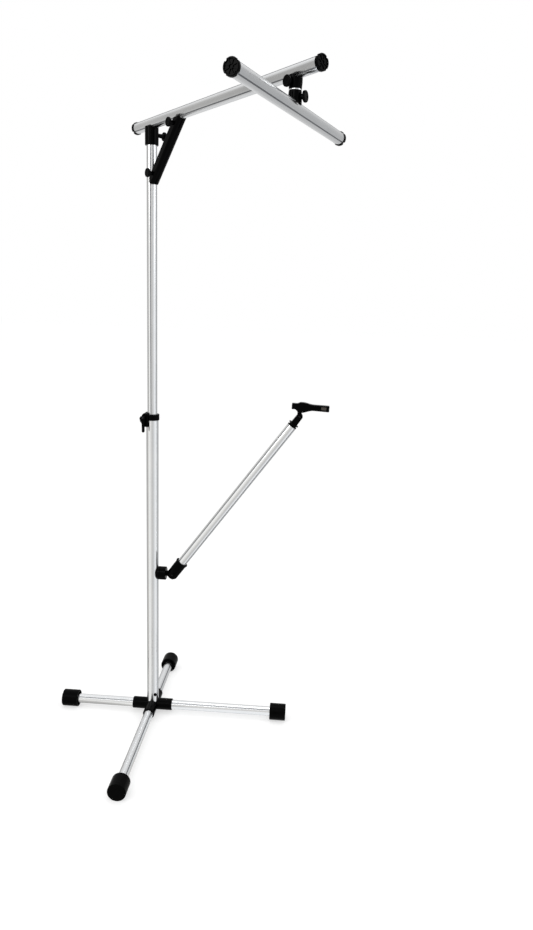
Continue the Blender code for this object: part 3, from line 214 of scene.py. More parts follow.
class Shape:
    """Closed body in the making, in millimetres in its own frame."""

    def __init__(self) -> None:
        """Start empty."""
        self.bm = bmesh.new()

    def wire(self, outline: Sequence[Corner | Sweep], upright: bool, closed: bool) -> None:
        """Draw an outline as edges.

        Args:
            outline: Corners and sweeps in order.
            upright: Whether the outline's second value is a height instead of a width.
            closed: Whether the last point joins the first.
        """
        bm = self.bm
        rounds: list[tuple[bmesh.types.BMVert, float]] = []
        first = last = None
        for step in outline:
            if isinstance(step, Sweep):
                made = bmesh.ops.spin(
                    bm, geom=[last], cent=(step.x, step.y, 0), axis=(0, 0, 1),
                    angle=math.radians(step.degrees), steps=step.steps,
                )
                last = points_in(made["geom_last"])[0]
                continue
            vert = bm.verts.new((step.x, 0.0, step.y) if upright else (step.x, step.y, 0.0))
            if last is None:
                first = vert
            else:
                bm.edges.new((last, vert))
            if step.soft > 0:
                rounds.append((vert, step.soft))
            last = vert
        if closed and (first.co - last.co).length > MERGE:
            bm.edges.new((last, first))
        bmesh.ops.remove_doubles(bm, verts=bm.verts[:], dist=MERGE)
        for vert, radius in rounds:
            if vert.is_valid:
                soften_corner(bm, vert, radius)
        bmesh.ops.remove_doubles(bm, verts=bm.verts[:], dist=MERGE)

    @classmethod
    def turned(cls, profile: Sequence[Corner], steps: int = TURN_STEPS) -> "Shape":
        """Body turned about Z from its half outline.

        Args:
            profile: Corners as radius and height; an outline off the axis closes on itself.
            steps: Facets round the body.

        Returns:
            The closed body.
        """
        shape = cls()
        shape.wire(profile, upright=True, closed=profile[0].x > 0)
        geometry = shape.bm.verts[:] + shape.bm.edges[:]
        bmesh.ops.spin(
            shape.bm, geom=geometry, cent=(0, 0, 0), axis=(0, 0, 1), angle=math.tau, steps=steps,
            use_merge=True,
        )
        return shape.closed()

    @classmethod
    def drawn(cls, outline: Sequence[Corner | Sweep], low: float, high: float, edge: float = 0.0) -> "Shape":
        """Body drawn out along Z from an outline.

        Args:
            outline: Corners and sweeps in the XY plane.
            low: Height of the lower face.
            high: Height of the upper face.
            edge: Width of the rounding on the rims of both faces.

        Returns:
            The closed body.
        """
        shape = cls()
        bm = shape.bm
        shape.wire(outline, upright=False, closed=True)
        bmesh.ops.translate(bm, verts=bm.verts[:], vec=(0, 0, low))
        faces = bmesh.ops.contextual_create(bm, geom=bm.edges[:])["faces"]
        grown = bmesh.ops.extrude_face_region(bm, geom=faces, use_keep_orig=True)["geom"]
        bmesh.ops.translate(bm, verts=points_in(grown), vec=(0, 0, high - low))
        shape.closed()
        if edge > 0:
            rims = [item for item in bm.edges if abs(item.verts[0].co.z - item.verts[1].co.z) < MERGE]
            bmesh.ops.bevel(
                bm, geom=rims, offset=edge, affect="EDGES", segments=CORNER_STEPS, profile=0.5,
                material=-1, clamp_overlap=True,
            )
        return shape

    @classmethod
    def lobed(cls, section: Lobes, stations: Sequence[tuple[float, float]], hollow: bool = False) -> "Shape":
        """Body with a grooved section along Z.

        Args:
            section: The section at full size.
            stations: Height and scale of the section, one after the other.
            hollow: Whether the last station runs back to the first, as in a tube.

        Returns:
            The closed body.
        """
        shape = cls()
        bm = shape.bm
        height, size = stations[0]
        edges = section.loop(bm, height)
        bmesh.ops.scale(bm, verts=bm.verts[:], vec=(size, size, 1.0))
        if not hollow:
            bmesh.ops.contextual_create(bm, geom=edges)
        path = list(stations[1:]) + ([stations[0]] if hollow else [])
        for next_height, next_size in path:
            made = bmesh.ops.extrude_edge_only(bm, edges=edges)["geom"]
            verts = points_in(made)
            bmesh.ops.translate(bm, verts=verts, vec=(0, 0, next_height - height))
            bmesh.ops.scale(bm, verts=verts, vec=(next_size / size, next_size / size, 1.0))
            fresh = set(verts)
            sides = [item for item in made if isinstance(item, bmesh.types.BMEdge)]
            edges = [item for item in sides if fresh >= set(item.verts)]
            height, size = next_height, next_size
        if not hollow:
            bmesh.ops.contextual_create(bm, geom=edges)
        return shape.closed()

    @classmethod
    def block(cls, low: Sequence[float], high: Sequence[float]) -> "Shape":
        """Box that is used to cut.

        Args:
            low: Its lowest corner.
            high: Its highest corner.

        Returns:
            The closed body.
        """
        shape = cls()
        size = Vector(high) - Vector(low)
        middle = (Vector(high) + Vector(low)) / 2
        bmesh.ops.create_cube(shape.bm, size=1.0, matrix=shift(*middle) @ Matrix.Diagonal((*size, 1.0)))
        return shape

    @classmethod
    def rod(
        cls, radius: float, low: float, high: float, steps: int = TURN_STEPS, soft: float = 0.0
    ) -> "Shape":
        """Round rod along Z with softened ends."""
        profile = [Corner(0, high), Corner(radius, high, soft), Corner(radius, low, soft), Corner(0, low)]
        return cls.turned(profile, steps)

    @classmethod
    def drill(cls, radius: float) -> "Shape":
        """Round hole along Z, a gap wider than the pin that goes in it."""
        return cls.rod(radius + GAP, -CUT_REACH, CUT_REACH, PIN_STEPS)

    def closed(self) -> "Shape":
        """Weld seams and poles, and turn all faces outward."""
        bmesh.ops.remove_doubles(self.bm, verts=self.bm.verts[:], dist=MERGE)
        bmesh.ops.recalc_face_normals(self.bm, faces=self.bm.faces[:])
        return self

    def moved(self, place: Matrix) -> "Shape":
        """Carry the body to another frame."""
        bmesh.ops.transform(self.bm, matrix=place, verts=self.bm.verts[:])
        return self

    def joined(self, how: Join, *tools: "Shape") -> "Shape":
        """Combine the body with others.

        Args:
            how: Way to combine them.
            tools: Other bodies, used up by this.

        Returns:
            The body itself.
        """
        for tool in tools:
            body = self.trial()
            other = tool.trial()
            step = body.modifiers.new("join", "BOOLEAN")
            step.operation = how.value
            step.solver = "EXACT"
            step.object = other
            graph = bpy.context.evaluated_depsgraph_get()
            mesh = bpy.data.meshes.new_from_object(body.evaluated_get(graph))
            self.bm = bmesh.new()
            self.bm.from_mesh(mesh)
            for spent in (body, other):
                spent_mesh = spent.data
                bpy.data.objects.remove(spent)
                bpy.data.meshes.remove(spent_mesh)
            bpy.data.meshes.remove(mesh)
        return self

    def trial(self) -> bpy.types.Object:
        """Hand the body over to a passing object."""
        mesh = bpy.data.meshes.new("trial")
        self.bm.to_mesh(mesh)
        self.bm.free()
        body = bpy.data.objects.new("trial", mesh)
        bpy.context.scene.collection.objects.link(body)
        return body

    def add(self, *tools: "Shape") -> "Shape":
        """Make other bodies one with this one."""
        return self.joined(Join.ADD, *tools)

    def cut(self, *tools: "Shape") -> "Shape":
        """Take other bodies out of this one."""
        return self.joined(Join.CUT, *tools)

    def keep(self, *tools: "Shape") -> "Shape":
        """Keep what lies inside other bodies."""
        return self.joined(Join.KEEP, *tools)

    def levelled(self, height: float) -> "Shape":
        """Slice off what hangs below a height and close the slice.

        Args:
            height: Height of the slice.

        Returns:
            The body itself.
        """
        geometry = self.bm.verts[:] + self.bm.edges[:] + self.bm.faces[:]
        bmesh.ops.bisect_plane(
            self.bm, geom=geometry, plane_co=(0, 0, height), plane_no=(0, 0, -1), clear_outer=True, dist=MERGE
        )
        bmesh.ops.holes_fill(self.bm, edges=[edge for edge in self.bm.edges if edge.is_boundary], sides=0)
        return self

    def mesh(self, name: str) -> bpy.types.Mesh:
        """Finish the body as a mesh in metres.

        Args:
            name: Name of the mesh.

        Returns:
            The mesh, smooth except at its sharp edges.
        """
        bmesh.ops.scale(self.bm, verts=self.bm.verts[:], vec=(MM, MM, MM))
        mesh = bpy.data.meshes.new(name)
        self.bm.to_mesh(mesh)
        self.bm.free()
        mesh.shade_smooth()
        mesh.set_sharp_from_angle(angle=SHARP_ANGLE)
        return mesh


def linear(code: str) -> tuple[float, float, float, float]:
    """Turn an sRGB hex colour into linear values.

    Args:
        code: Six hex digits after a hash.

    Returns:
        Red, green, blue and full alpha.
    """
    values = [int(code[start:start + 2], 16) / 255 for start in (1, 3, 5)]
    red, green, blue = (v / 12.92 if v <= 0.04045 else ((v + 0.055) / 1.055) ** 2.4 for v in values)
    return red, green, blue, 1.0


def add_node(tree: bpy.types.NodeTree, kind: str, settings: dict, links: dict) -> bpy.types.Node:
    """Add a node with its settings and links.

    Args:
        tree: Node tree that takes the node.
        kind: Type name of the node.
        settings: Values of its sockets, by name or number, and of its properties.
        links: Output sockets by the name or number of the input that they feed.

    Returns:
        The node.
    """
    node = tree.nodes.new(kind)
    for key, value in settings.items():
        if isinstance(key, str) and hasattr(node, key):
            setattr(node, key, value)
        else:
            node.inputs[key].default_value = value
    for key, source in links.items():
        tree.links.new(source, node.inputs[key])
    return node


@dataclass(frozen=True)
class Finish:
    """What all finishes share: a shader whose tone, gloss and relief come from its grain."""

    name: str
    pale: str
    deep: str
    roughness: float
    spread: float
    metallic: float
    specular: float
    grain: tuple[float, float, float]
    relief: float
    cloud: float

    def material(
        self, along: Matrix | None = None, shade: tuple[float, float] | None = None
    ) -> bpy.types.Material:
        """Build the finish as a node material.

        Args:
            along: Place, in metres, that brings the piece's Z axis to the grain's.
            shade: Radii about that axis, in millimetres, between which painted shade darkens the grooves.

        Returns:
            The material.
        """
        finish = bpy.data.materials.new(self.name)
        finish.use_nodes = True
        tree = finish.node_tree
        shader = tree.nodes["Principled BSDF"]
        shader.inputs["Metallic"].default_value = self.metallic
        shader.inputs["Specular IOR Level"].default_value = self.specular
        place = add_node(tree, "ShaderNodeTexCoord", {}, {})
        turned = place.outputs["Object"]
        if along is not None:
            turned = add_node(
                tree, "ShaderNodeMapping", {"Rotation": along.to_euler(), "Location": along.translation},
                {"Vector": turned},
            ).outputs[0]
        per_metre = tuple(1.0 / (size * MM) for size in self.grain)
        fine = add_node(tree, "ShaderNodeMapping", {"Scale": per_metre}, {"Vector": turned})
        grain = add_node(
            tree, "ShaderNodeTexNoise", {"Scale": 1.0, "Detail": 3.0, "Roughness": 0.6},
            {"Vector": fine.outputs[0]},
        )
        clouds = add_node(
            tree, "ShaderNodeTexNoise", {"Scale": 1.0 / (self.cloud * MM), "Detail": 2.0}, {"Vector": turned}
        )
        mixed = add_node(
            tree, "ShaderNodeMix", {"data_type": "FLOAT", 0: 0.45},
            {2: clouds.outputs[0], 3: grain.outputs[0]},
        )
        tone = add_node(tree, "ShaderNodeValToRGB", {}, {0: mixed.outputs[0]})
        tone.color_ramp.elements[0].position = 0.32
        tone.color_ramp.elements[0].color = linear(self.deep)
        tone.color_ramp.elements[1].position = 0.68
        tone.color_ramp.elements[1].color = linear(self.pale)
        colour = tone.outputs[0]
        # Painted shade: inside the given radii about the axis, the base colour darkens toward the groove
        # colour
        if shade is not None:
            flat = add_node(
                tree, "ShaderNodeVectorMath", {"operation": "MULTIPLY", 1: (1.0, 1.0, 0.0)}, {0: turned}
            )
            reach = add_node(tree, "ShaderNodeVectorMath", {"operation": "LENGTH"}, {0: flat.outputs[0]})
            lit = add_node(
                tree, "ShaderNodeMapRange", {1: shade[0] * MM, 2: shade[1] * MM, 3: 0.0, 4: 1.0},
                {0: reach.outputs["Value"]},
            )
            colour = add_node(
                tree, "ShaderNodeMix", {"data_type": "RGBA", 6: linear(PAINTED_GROOVE_SHADE)},
                {0: lit.outputs[0], 7: colour},
            ).outputs[2]
        tree.links.new(colour, shader.inputs["Base Color"])
        gloss = add_node(
            tree, "ShaderNodeMapRange",
            {1: 0.3, 2: 0.7, 3: self.roughness - self.spread, 4: self.roughness + self.spread},
            {0: mixed.outputs[0]},
        )
        tree.links.new(gloss.outputs[0], shader.inputs["Roughness"])
        bump = add_node(
            tree, "ShaderNodeBump", {"Strength": 0.5, "Distance": self.relief * MM},
            {"Height": grain.outputs[0]},
        )
        tree.links.new(bump.outputs[0], shader.inputs["Normal"])
        return finish


# Drawn tube, anodised clear: fine lines run along it and soften its reflections
ALUMINIUM = Finish(
    "anodised_drawn_aluminium", "#F2F3F4", "#E9EBED", 0.22, 0.04, 1.0, 0.5, (0.7, 0.7, 160.0), 0.003, 60.0
)
# Nylon, moulded in a grained tool: deep black with a dull sheen; the grain is coarser than real, to show
PLASTIC = Finish(
    "moulded_black_nylon", "#030304", "#010101", 0.2, 0.05, 0.0, 0.04, (0.9, 0.9, 0.9), 0.015, 12.0
)
# Nylon, left matt by its tool: a paler, warmer patch
MATT_PLASTIC = Finish(
    "matt_black_nylon", "#4C4742", "#403C38", 0.6, 0.06, 0.0, 0.2, (0.9, 0.9, 0.9), 0.02, 12.0
)
# Rubber, moulded: dull and slightly mottled
RUBBER = Finish(
    "moulded_black_rubber", "#040404", "#010101", 0.3, 0.06, 0.0, 0.035, (1.6, 1.6, 1.6), 0.02, 9.0
)
# Steel, zinc plated: bright with a faint mottle
STEEL = Finish(
    "zinc_plated_steel", "#C9CCD0", "#A9ADB3", 0.26, 0.06, 1.0, 0.5, (1.2, 1.2, 1.2), 0.01, 6.0
)
# Steel, blackened: dark pins that hardly show
BLACK_STEEL = Finish(
    "blackened_steel", "#2A2A2C", "#191A1B", 0.4, 0.06, 1.0, 0.5, (1.2, 1.2, 1.2), 0.01, 6.0
)


@dataclass
class Frames:
    """Places of the sub-assemblies, in millimetres, as the solids have them."""

    boom_azimuth: float = -48.0
    boom_height: float = 1534.0
    post_along: float = 520.0
    post_half: float = 30.2
    bar_azimuth: float = -111.75
    arm_height: float = 415.5
    pivot_along: float = 55.5
    arm_elevation: float = 54.0
    rest_pivot: float = 547.0
    rest_droop: float = 2.5

    def __post_init__(self) -> None:
        """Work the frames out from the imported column."""
        low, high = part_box("lower_column")
        self.stand = shift((low.x + high.x) / 2 / MM, (low.y + high.y) / 2 / MM, 0.0)
        self.upper = self.stand @ turn(self.boom_azimuth, "Z")
        self.boom = self.upper @ shift(z=self.boom_height)
        self.post = self.boom @ shift(self.post_along, 0.0, -self.post_half)
        self.swivel = self.post @ turn(self.bar_azimuth - self.boom_azimuth, "Z") @ turn(180.0, "X")
        self.bar = self.swivel @ shift(z=self.post_half)
        self.coupler = self.stand @ shift(z=self.arm_height)
        self.elbow = self.coupler @ shift(self.pivot_along) @ turn(-self.arm_elevation, "Y")
        self.rest = self.elbow @ shift(self.rest_pivot) @ turn(self.arm_elevation + self.rest_droop, "Y")


class Stand:
    """Adds finished pieces to the frame."""

    def __init__(self) -> None:
        """Make the shared finishes."""
        self.frames = Frames()
        self.plastic = PLASTIC.material()
        self.rubber = RUBBER.material()
        self.steel = STEEL.material()
        self.black_steel = BLACK_STEEL.material()
        self.body_of = {
            node: body for body, nodes in frame["record"]["behaviour"]["bodies"].items() for node in nodes
        }

    def aluminium(self, place: Matrix, shade: tuple[float, float] | None = None) -> bpy.types.Material:
        """Drawn aluminium with its lines along the Z axis of a frame.

        Args:
            place: Frame of the piece, in millimetres.
            shade: Radii between which painted shade darkens its grooves, if it has any.

        Returns:
            The material.
        """
        along = place.inverted()
        along.translation *= MM
        return ALUMINIUM.material(along, shade)

    def put(
        self, node: str, shape: Shape, place: Matrix, finish: bpy.types.Material
    ) -> bpy.types.Object:
        """Show a detailed piece in place of a solid.

        Args:
            node: Solid that the piece stands for.
            shape: Body of the piece in its own frame.
            place: Frame of the piece.
            finish: Its material.

        Returns:
            The piece.
        """
        mesh = shape.moved(place).mesh(node + "_look")
        mesh.materials.append(finish)
        piece = bpy.data.objects.new(node + "_look", mesh)
        bpy.context.scene.collection.objects.link(piece)
        smooth = piece.modifiers.new("even_shading", "WEIGHTED_NORMAL")
        smooth.keep_sharp = True
        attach(piece, self.body_of[node])
        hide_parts(node)
        LOG.info("%s: %d faces", piece.name, len(mesh.polygons))
        return piece

    def mould(self, node: str, shape: Shape, place: Matrix) -> bpy.types.Object:
        """Show a moulded plastic piece."""
        return self.put(node, shape, place, self.plastic)

    def tube(
        self, node: str, shape: Shape, place: Matrix, shade: tuple[float, float] | None = None
    ) -> bpy.types.Object:
        """Show an aluminium piece whose lines run along Z."""
        return self.put(node, shape, place, self.aluminium(place, shade))

    def hardware(self, node: str, shape: Shape, place: Matrix, black: bool = False) -> bpy.types.Object:
        """Show a steel piece."""
        finish, slot = (self.black_steel, Slot.BLACK_STEEL) if black else (self.steel, Slot.STEEL)
        return self.put(node, shape, place, finish)

    def dress_solids(self) -> None:
        """Give every solid that stays in view its finish."""
        finishes = {
            Slot.ALUMINIUM: self.aluminium(Matrix()), Slot.STEEL: self.steel,
            Slot.BLACK_STEEL: self.black_steel, Slot.RUBBER: self.rubber, Slot.PLASTIC: self.plastic,
        }
        for row in frame["record"]["subparts"]:
            solid = frame["nodes"][row["node"]]
            solid.data.materials.clear()
            solid.data.materials.append(finishes[Slot(row["material_slot"])])


@dataclass
class Tube:
    """Grooved tube that the stand is made of."""

    section: Lobes = field(default_factory=lambda: Lobes(12.5, 2.4, 1.5, 0.35))
    wall: float = 1.5

    def length(self, low: float, high: float) -> Shape:
        """Hollow length of tube along Z."""
        inner = 1 - self.wall / self.section.radius
        return Shape.lobed(self.section, [(low, 1.0), (high, 1.0), (high, inner), (low, inner)], hollow=True)

    def show(self, stand: Stand, node: str, low: float, high: float, place: Matrix) -> None:
        """Show a length of tube, with painted shade in its grooves as they look in the photograph."""
        radius = self.section.radius
        stand.tube(node, self.length(low, high), place, (radius - self.section.depth, radius - GAP))

    def seat(self, low: float, high: float) -> Shape:
        """Space that the tube takes in a moulding."""
        return Shape.lobed(self.section.grown(GAP), [(low, 1.0), (high, 1.0)])


TUBE = Tube()


@dataclass
class Base:
    """Hub, legs and feet."""

    sleeve: Lobes = field(default_factory=lambda: Lobes(15.8, 3.0, 1.3, 0.5))
    chamfer: float = 1.0
    reach: float = 55.0
    leg_start: float = 22.0
    axle: float = 22.1
    foot_radius: float = 22.5
    foot_length: float = 44.0
    foot_end: float = 6.0
    mouth_radius: float = 18.0
    mouth_depth: float = 10.0
    spigot_radius: float = 14.2
    spigot_top: float = 75.0
    sides: tuple = (
        ("right", 0.0, 375.0), ("far", 90.0, 256.0), ("left", 180.0, 256.0), ("near", -90.0, 375.0),
    )

    def sleeve_bar(self) -> Shape:
        """One straight bar of the hub with worn ends."""
        small = 1 - self.chamfer / self.sleeve.radius
        inner = self.reach - self.chamfer
        stations = [(-self.reach, small), (-inner, 1.0), (inner, 1.0), (self.reach, small)]
        return Shape.lobed(self.sleeve, stations)

    def foot(self) -> Shape:
        """Rubber foot, its mouth at the bottom and its end on top."""
        bore = TUBE.section.radius + GAP
        return Shape.turned([
            Corner(0, self.foot_length), Corner(self.foot_radius, self.foot_length, 2.2),
            Corner(self.foot_radius, 0, 1.6), Corner(self.mouth_radius, 0, 1.2),
            Corner(self.mouth_radius, self.mouth_depth, 1.0), Corner(bore, self.mouth_depth, 0.8),
            Corner(bore, self.foot_length - self.foot_end), Corner(0, self.foot_length - self.foot_end),
        ])

    def build(self, stand: Stand) -> None:
        """Build the hub, then each leg with its foot.

        Args:
            stand: Takes the pieces.
        """
        origin = stand.frames.stand @ shift(z=self.axle)
        hub = self.sleeve_bar().moved(TO_X)
        hub.add(self.sleeve_bar().moved(turn(90.0, "Z") @ TO_X))
        hub.add(Shape.rod(self.spigot_radius, 0.0, self.spigot_top - self.axle))
        for side, azimuth, reach in self.sides:
            heading = turn(azimuth, "Z") @ TO_X
            hub.cut(TUBE.seat(self.leg_start, self.reach + OVER).moved(heading))
            place = origin @ heading
            TUBE.show(stand, side + "_leg", self.leg_start + GAP, reach - self.foot_end - GAP, place)
            foot = self.foot().moved(place @ shift(z=reach - self.foot_length)).levelled(0.0)
            stand.put(side + "_foot", foot, Matrix(), stand.rubber)
        stand.mould("hub", hub, origin)


@dataclass
class Column:
    """Lower column with its screw and bush, and the upper column."""

    radius: float = 16.0
    wall: float = 1.5
    bottom: float = 30.0
    top: float = 845.0
    slit: float = 2.4
    slit_bottom: float = 796.3
    screw_height: float = 57.0
    screw_azimuth: float = -55.0
    screw_head: float = 4.5
    screw_crown: float = 2.6
    screw_shank: float = 2.0
    screw_length: float = 12.0
    bush_length: float = 45.0
    bush_flange: float = 2.2
    upper_bottom: float = 620.0
    upper_top: float = 1516.0

    def slit_block(self) -> Shape:
        """Slit that lets the clamp close the tube."""
        half = self.slit / 2
        return Shape.block((-60.0, -half, self.slit_bottom), (-8.0, half, self.top + 40.0))

    def build(self, stand: Stand) -> None:
        """Build both columns, the screw and the bush.

        Args:
            stand: Takes the pieces.
        """
        place = stand.frames.stand
        inner = self.radius - self.wall
        lower = Shape.turned([
            Corner(self.radius, self.top, 0.3), Corner(self.radius, self.bottom),
            Corner(inner, self.bottom), Corner(inner, self.top, 0.3),
        ])
        base = Base()
        for heading in (0.0, 90.0):
            notch = Shape.rod(base.sleeve.radius + GAP, -base.reach, base.reach)
            lower.cut(notch.moved(shift(z=base.axle) @ turn(heading, "Z") @ TO_X))
        stand.tube("lower_column", lower.cut(self.slit_block()), place)
        TUBE.show(stand, "upper_column", self.upper_bottom, self.upper_top, stand.frames.upper)
        self.build_screw(stand)
        low = self.top + GAP
        outer = inner - GAP
        bore = TUBE.section.radius + GAP
        bush = Shape.turned([
            Corner(self.radius, low + self.bush_flange, 0.5), Corner(self.radius, low), Corner(outer, low),
            Corner(outer, low - self.bush_length), Corner(bore, low - self.bush_length),
            Corner(bore, low + self.bush_flange, 0.4),
        ])
        stand.mould("guide_bush", bush.cut(self.slit_block()), place)

    def build_screw(self, stand: Stand) -> None:
        """Build the pan-head screw at the column's foot.

        Args:
            stand: Takes the pieces.
        """
        seat = self.radius + GAP
        crown = seat + self.screw_crown
        tip = seat - self.screw_length
        screw = Shape.turned([
            Corner(0, crown), Corner(self.screw_head - 1.2, crown, 1.0),
            Corner(self.screw_head, seat + 1.0, 0.6), Corner(self.screw_head, seat, 0.2),
            Corner(self.screw_shank, seat), Corner(self.screw_shank, tip, 0.4), Corner(0, tip),
        ], PIN_STEPS)
        for heading in (0.0, 90.0):
            slot = Shape.block((-2.3, -0.5, seat + 1.4), (2.3, 0.5, seat + OVER))
            screw.cut(slot.moved(turn(heading, "Z")))
        place = stand.frames.stand @ shift(z=self.screw_height) @ turn(self.screw_azimuth, "Z") @ TO_X
        stand.mould("column_screw", screw, place)


@dataclass
class HeightClamp:
    """Split collar with its cam lever."""

    band_bottom: float = 832.2
    band_top: float = 847.5
    band_wall: float = 1.6
    lug_bottom: float = 815.5
    lug_top: float = 851.4
    lug_outer: float = 24.4
    lug_round: float = 9.55
    lug_width: float = 32.4
    bolt_offset: float = 19.6
    bolt_height: float = 838.0
    bolt_radius: float = 2.5
    cam_radius: float = 6.0
    cam_width: float = 12.0
    eye_radius: float = 5.0
    eye_width: float = 5.0
    lever_width: float = 7.0
    lever_shift: float = 2.0
    lever_length: float = 35.0
    lever_thickness: float = 4.6
    pin_radius: float = 2.0
    nut_radius: float = 5.8
    nut_height: float = 4.5

    def build(self, stand: Stand) -> None:
        """Build the collar, the bolt with its nut, the lever and the pin.

        Args:
            stand: Takes the pieces.
        """
        place = stand.frames.stand
        self.build_collar(stand, place)
        half = self.lug_width / 2
        along = half + GAP + self.cam_radius
        bolt_place = shift(-self.bolt_offset, 0.0, self.bolt_height) @ TO_FRONT
        pin_place = shift(-self.bolt_offset, -along, self.bolt_height)
        nut_low = -half - GAP - self.nut_height
        bolt = Shape.rod(self.bolt_radius, nut_low - GAP, along, PIN_STEPS, 0.4).moved(bolt_place)
        eye = Shape.rod(self.eye_radius, -self.eye_width / 2, self.eye_width / 2, RING_STEPS, 0.4)
        bolt.add(eye.moved(pin_place @ TO_X))
        bolt.cut(Shape.drill(self.pin_radius).moved(pin_place @ TO_X))
        stand.hardware("clamp_bolt", bolt, place, black=True)
        angles = [math.radians(60.0 * side) for side in range(6)]
        radius = self.nut_radius
        six = [Corner(radius * math.cos(angle), radius * math.sin(angle)) for angle in angles]
        nut = Shape.drawn(six, nut_low, nut_low + self.nut_height, 0.5)
        nut.cut(Shape.drill(self.bolt_radius))
        stand.hardware("clamp_nut", nut, place @ bolt_place, black=True)
        self.build_lever(stand, place @ pin_place)

    def build_collar(self, stand: Stand, place: Matrix) -> None:
        """Build the band with the lugs that the bolt draws together.

        Args:
            stand: Takes the pieces.
            place: Frame of the piece.
        """
        column = Column()
        inner = column.radius + GAP
        outer = inner + self.band_wall
        band = Shape.turned([
            Corner(outer, self.band_top, 0.5), Corner(outer, self.band_bottom, 0.5),
            Corner(inner, self.band_bottom, 0.3), Corner(inner, self.band_top, 0.3),
        ])
        lug_inner = self.lug_outer - 2 * self.lug_round
        lug = Shape.drawn([
            Corner(-self.lug_outer, self.lug_bottom, 1.6), Corner(-lug_inner, self.lug_bottom, 1.6),
            Corner(-lug_inner, self.lug_top, self.lug_round),
            Corner(-self.lug_outer, self.lug_top, self.lug_round),
        ], -self.lug_width / 2, self.lug_width / 2, 1.0)
        band.add(lug.moved(TO_FRONT))
        band.cut(Shape.rod(inner, self.lug_bottom - OVER, self.lug_top + OVER), column.slit_block())
        bolt_place = shift(-self.bolt_offset, 0.0, self.bolt_height) @ TO_FRONT
        band.cut(Shape.drill(self.bolt_radius).moved(bolt_place))
        stand.mould("clamp_collar", band, place)

    def build_lever(self, stand: Stand, place: Matrix) -> None:
        """Build the forked cam lever and its pin.

        Args:
            stand: Takes the pieces.
            place: Frame of the piece.
        """
        half = self.cam_width / 2
        left = self.lever_shift - self.lever_width / 2
        right = self.lever_shift + self.lever_width / 2
        tip = -self.lever_length
        lever = Shape.rod(self.cam_radius, -half, half, RING_STEPS, 0.7).moved(TO_X)
        handle = Shape.drawn([
            Corner(half, 0), Corner(-half, 0), Corner(-half, -self.cam_radius, 1.0),
            Corner(left, -2 * self.cam_radius, 2.5), Corner(left, tip, 3.4), Corner(right, tip, 3.4),
            Corner(right, -2 * self.cam_radius, 1.0), Corner(half, -self.cam_radius, 0.5),
        ], -self.lever_thickness / 2, self.lever_thickness / 2, 0.9)
        lever.add(handle.moved(shift(y=self.lever_thickness / 2 - self.cam_radius + GAP / 2) @ TO_FRONT))
        fork = self.eye_width / 2 + GAP
        far = self.cam_radius + OVER
        lever.cut(
            Shape.rod(self.eye_radius + 2 * GAP, -fork, fork, RING_STEPS).moved(TO_X),
            Shape.block((-fork, -self.bolt_radius, -self.bolt_radius - GAP), (fork, far, far)),
            Shape.block((-fork, -far, 0.0), (fork, far, far)),
            Shape.drill(self.pin_radius).moved(TO_X),
        )
        stand.mould("cam_lever", lever, place)
        end = half + GAP
        pin = Shape.turned([
            Corner(0, end), Corner(self.pin_radius, end, 0.5), Corner(self.pin_radius, -end),
            Corner(3.6, -end, 0.3), Corner(3.6, -end - 1.4, 0.8), Corner(0, -end - 1.4),
        ], PIN_STEPS)
        stand.mould("lever_pin", pin, place @ TO_X)


@dataclass
class Knob:
    """Round clamp knob on a stud; local Z runs outward from the clamped face."""

    boss: float
    stud_tip: float
    radius: float = 10.0
    disc: float = 5.0
    boss_radius: float = 4.6
    stud_radius: float = 2.0
    hole_depth: float = 6.0
    flutes: int = 28
    flute_depth: float = 0.35
    dish: float = 0.8
    dish_radius: float = 7.2
    dimples: int = 6
    dimple_ring: float = 4.4
    dimple_radius: float = 0.9
    centre_radius: float = 1.3

    def build(self, stand: Stand, name: str, place: Matrix) -> None:
        """Build the knob and its stud.

        Args:
            stand: Takes the pieces.
            name: First part of their names.
            place: Frame of the knob.
        """
        top = self.boss + self.disc
        hole = self.stud_radius + GAP
        knob = Shape.turned([
            Corner(0, top - self.dish), Corner(self.dish_radius - 0.6, top - self.dish, 0.4),
            Corner(self.dish_radius, top, 0.3), Corner(self.radius, top, 1.3),
            Corner(self.radius, self.boss, 1.2), Corner(self.boss_radius + 0.6, self.boss, 0.5),
            Corner(self.boss_radius, 0, 0.4), Corner(hole, 0), Corner(hole, self.hole_depth),
            Corner(0, self.hole_depth),
        ], 4 * self.flutes)
        for vert in knob.bm.verts:
            rim = vert.co.xy.length
            if rim > self.radius - 1.0 and self.boss + 0.6 < vert.co.z < top - 0.6:
                wave = 0.5 + 0.5 * math.cos(self.flutes * math.atan2(vert.co.y, vert.co.x))
                vert.co.xy *= 1 - self.flute_depth * wave / rim
        marks = Shape()
        for index in range(self.dimples):
            spot = turn(360.0 * index / self.dimples, "Z") @ shift(self.dimple_ring, 0.0, top - 0.5)
            bmesh.ops.create_icosphere(marks.bm, subdivisions=2, radius=self.dimple_radius, matrix=spot)
        spot = shift(z=top - 0.3)
        bmesh.ops.create_icosphere(marks.bm, subdivisions=2, radius=self.centre_radius, matrix=spot)
        stand.mould(name + "_knob", knob.cut(marks), place)
        stud = Shape.rod(self.stud_radius, self.stud_tip, self.hole_depth - GAP, STUD_STEPS, 0.3)
        stand.hardware(name + "_stud", stud, place)

    def bore(self) -> Shape:
        """Hole that the stud needs in the clamped piece."""
        return Shape.rod(self.stud_radius + GAP, self.stud_tip - GAP, OVER, STUD_STEPS)


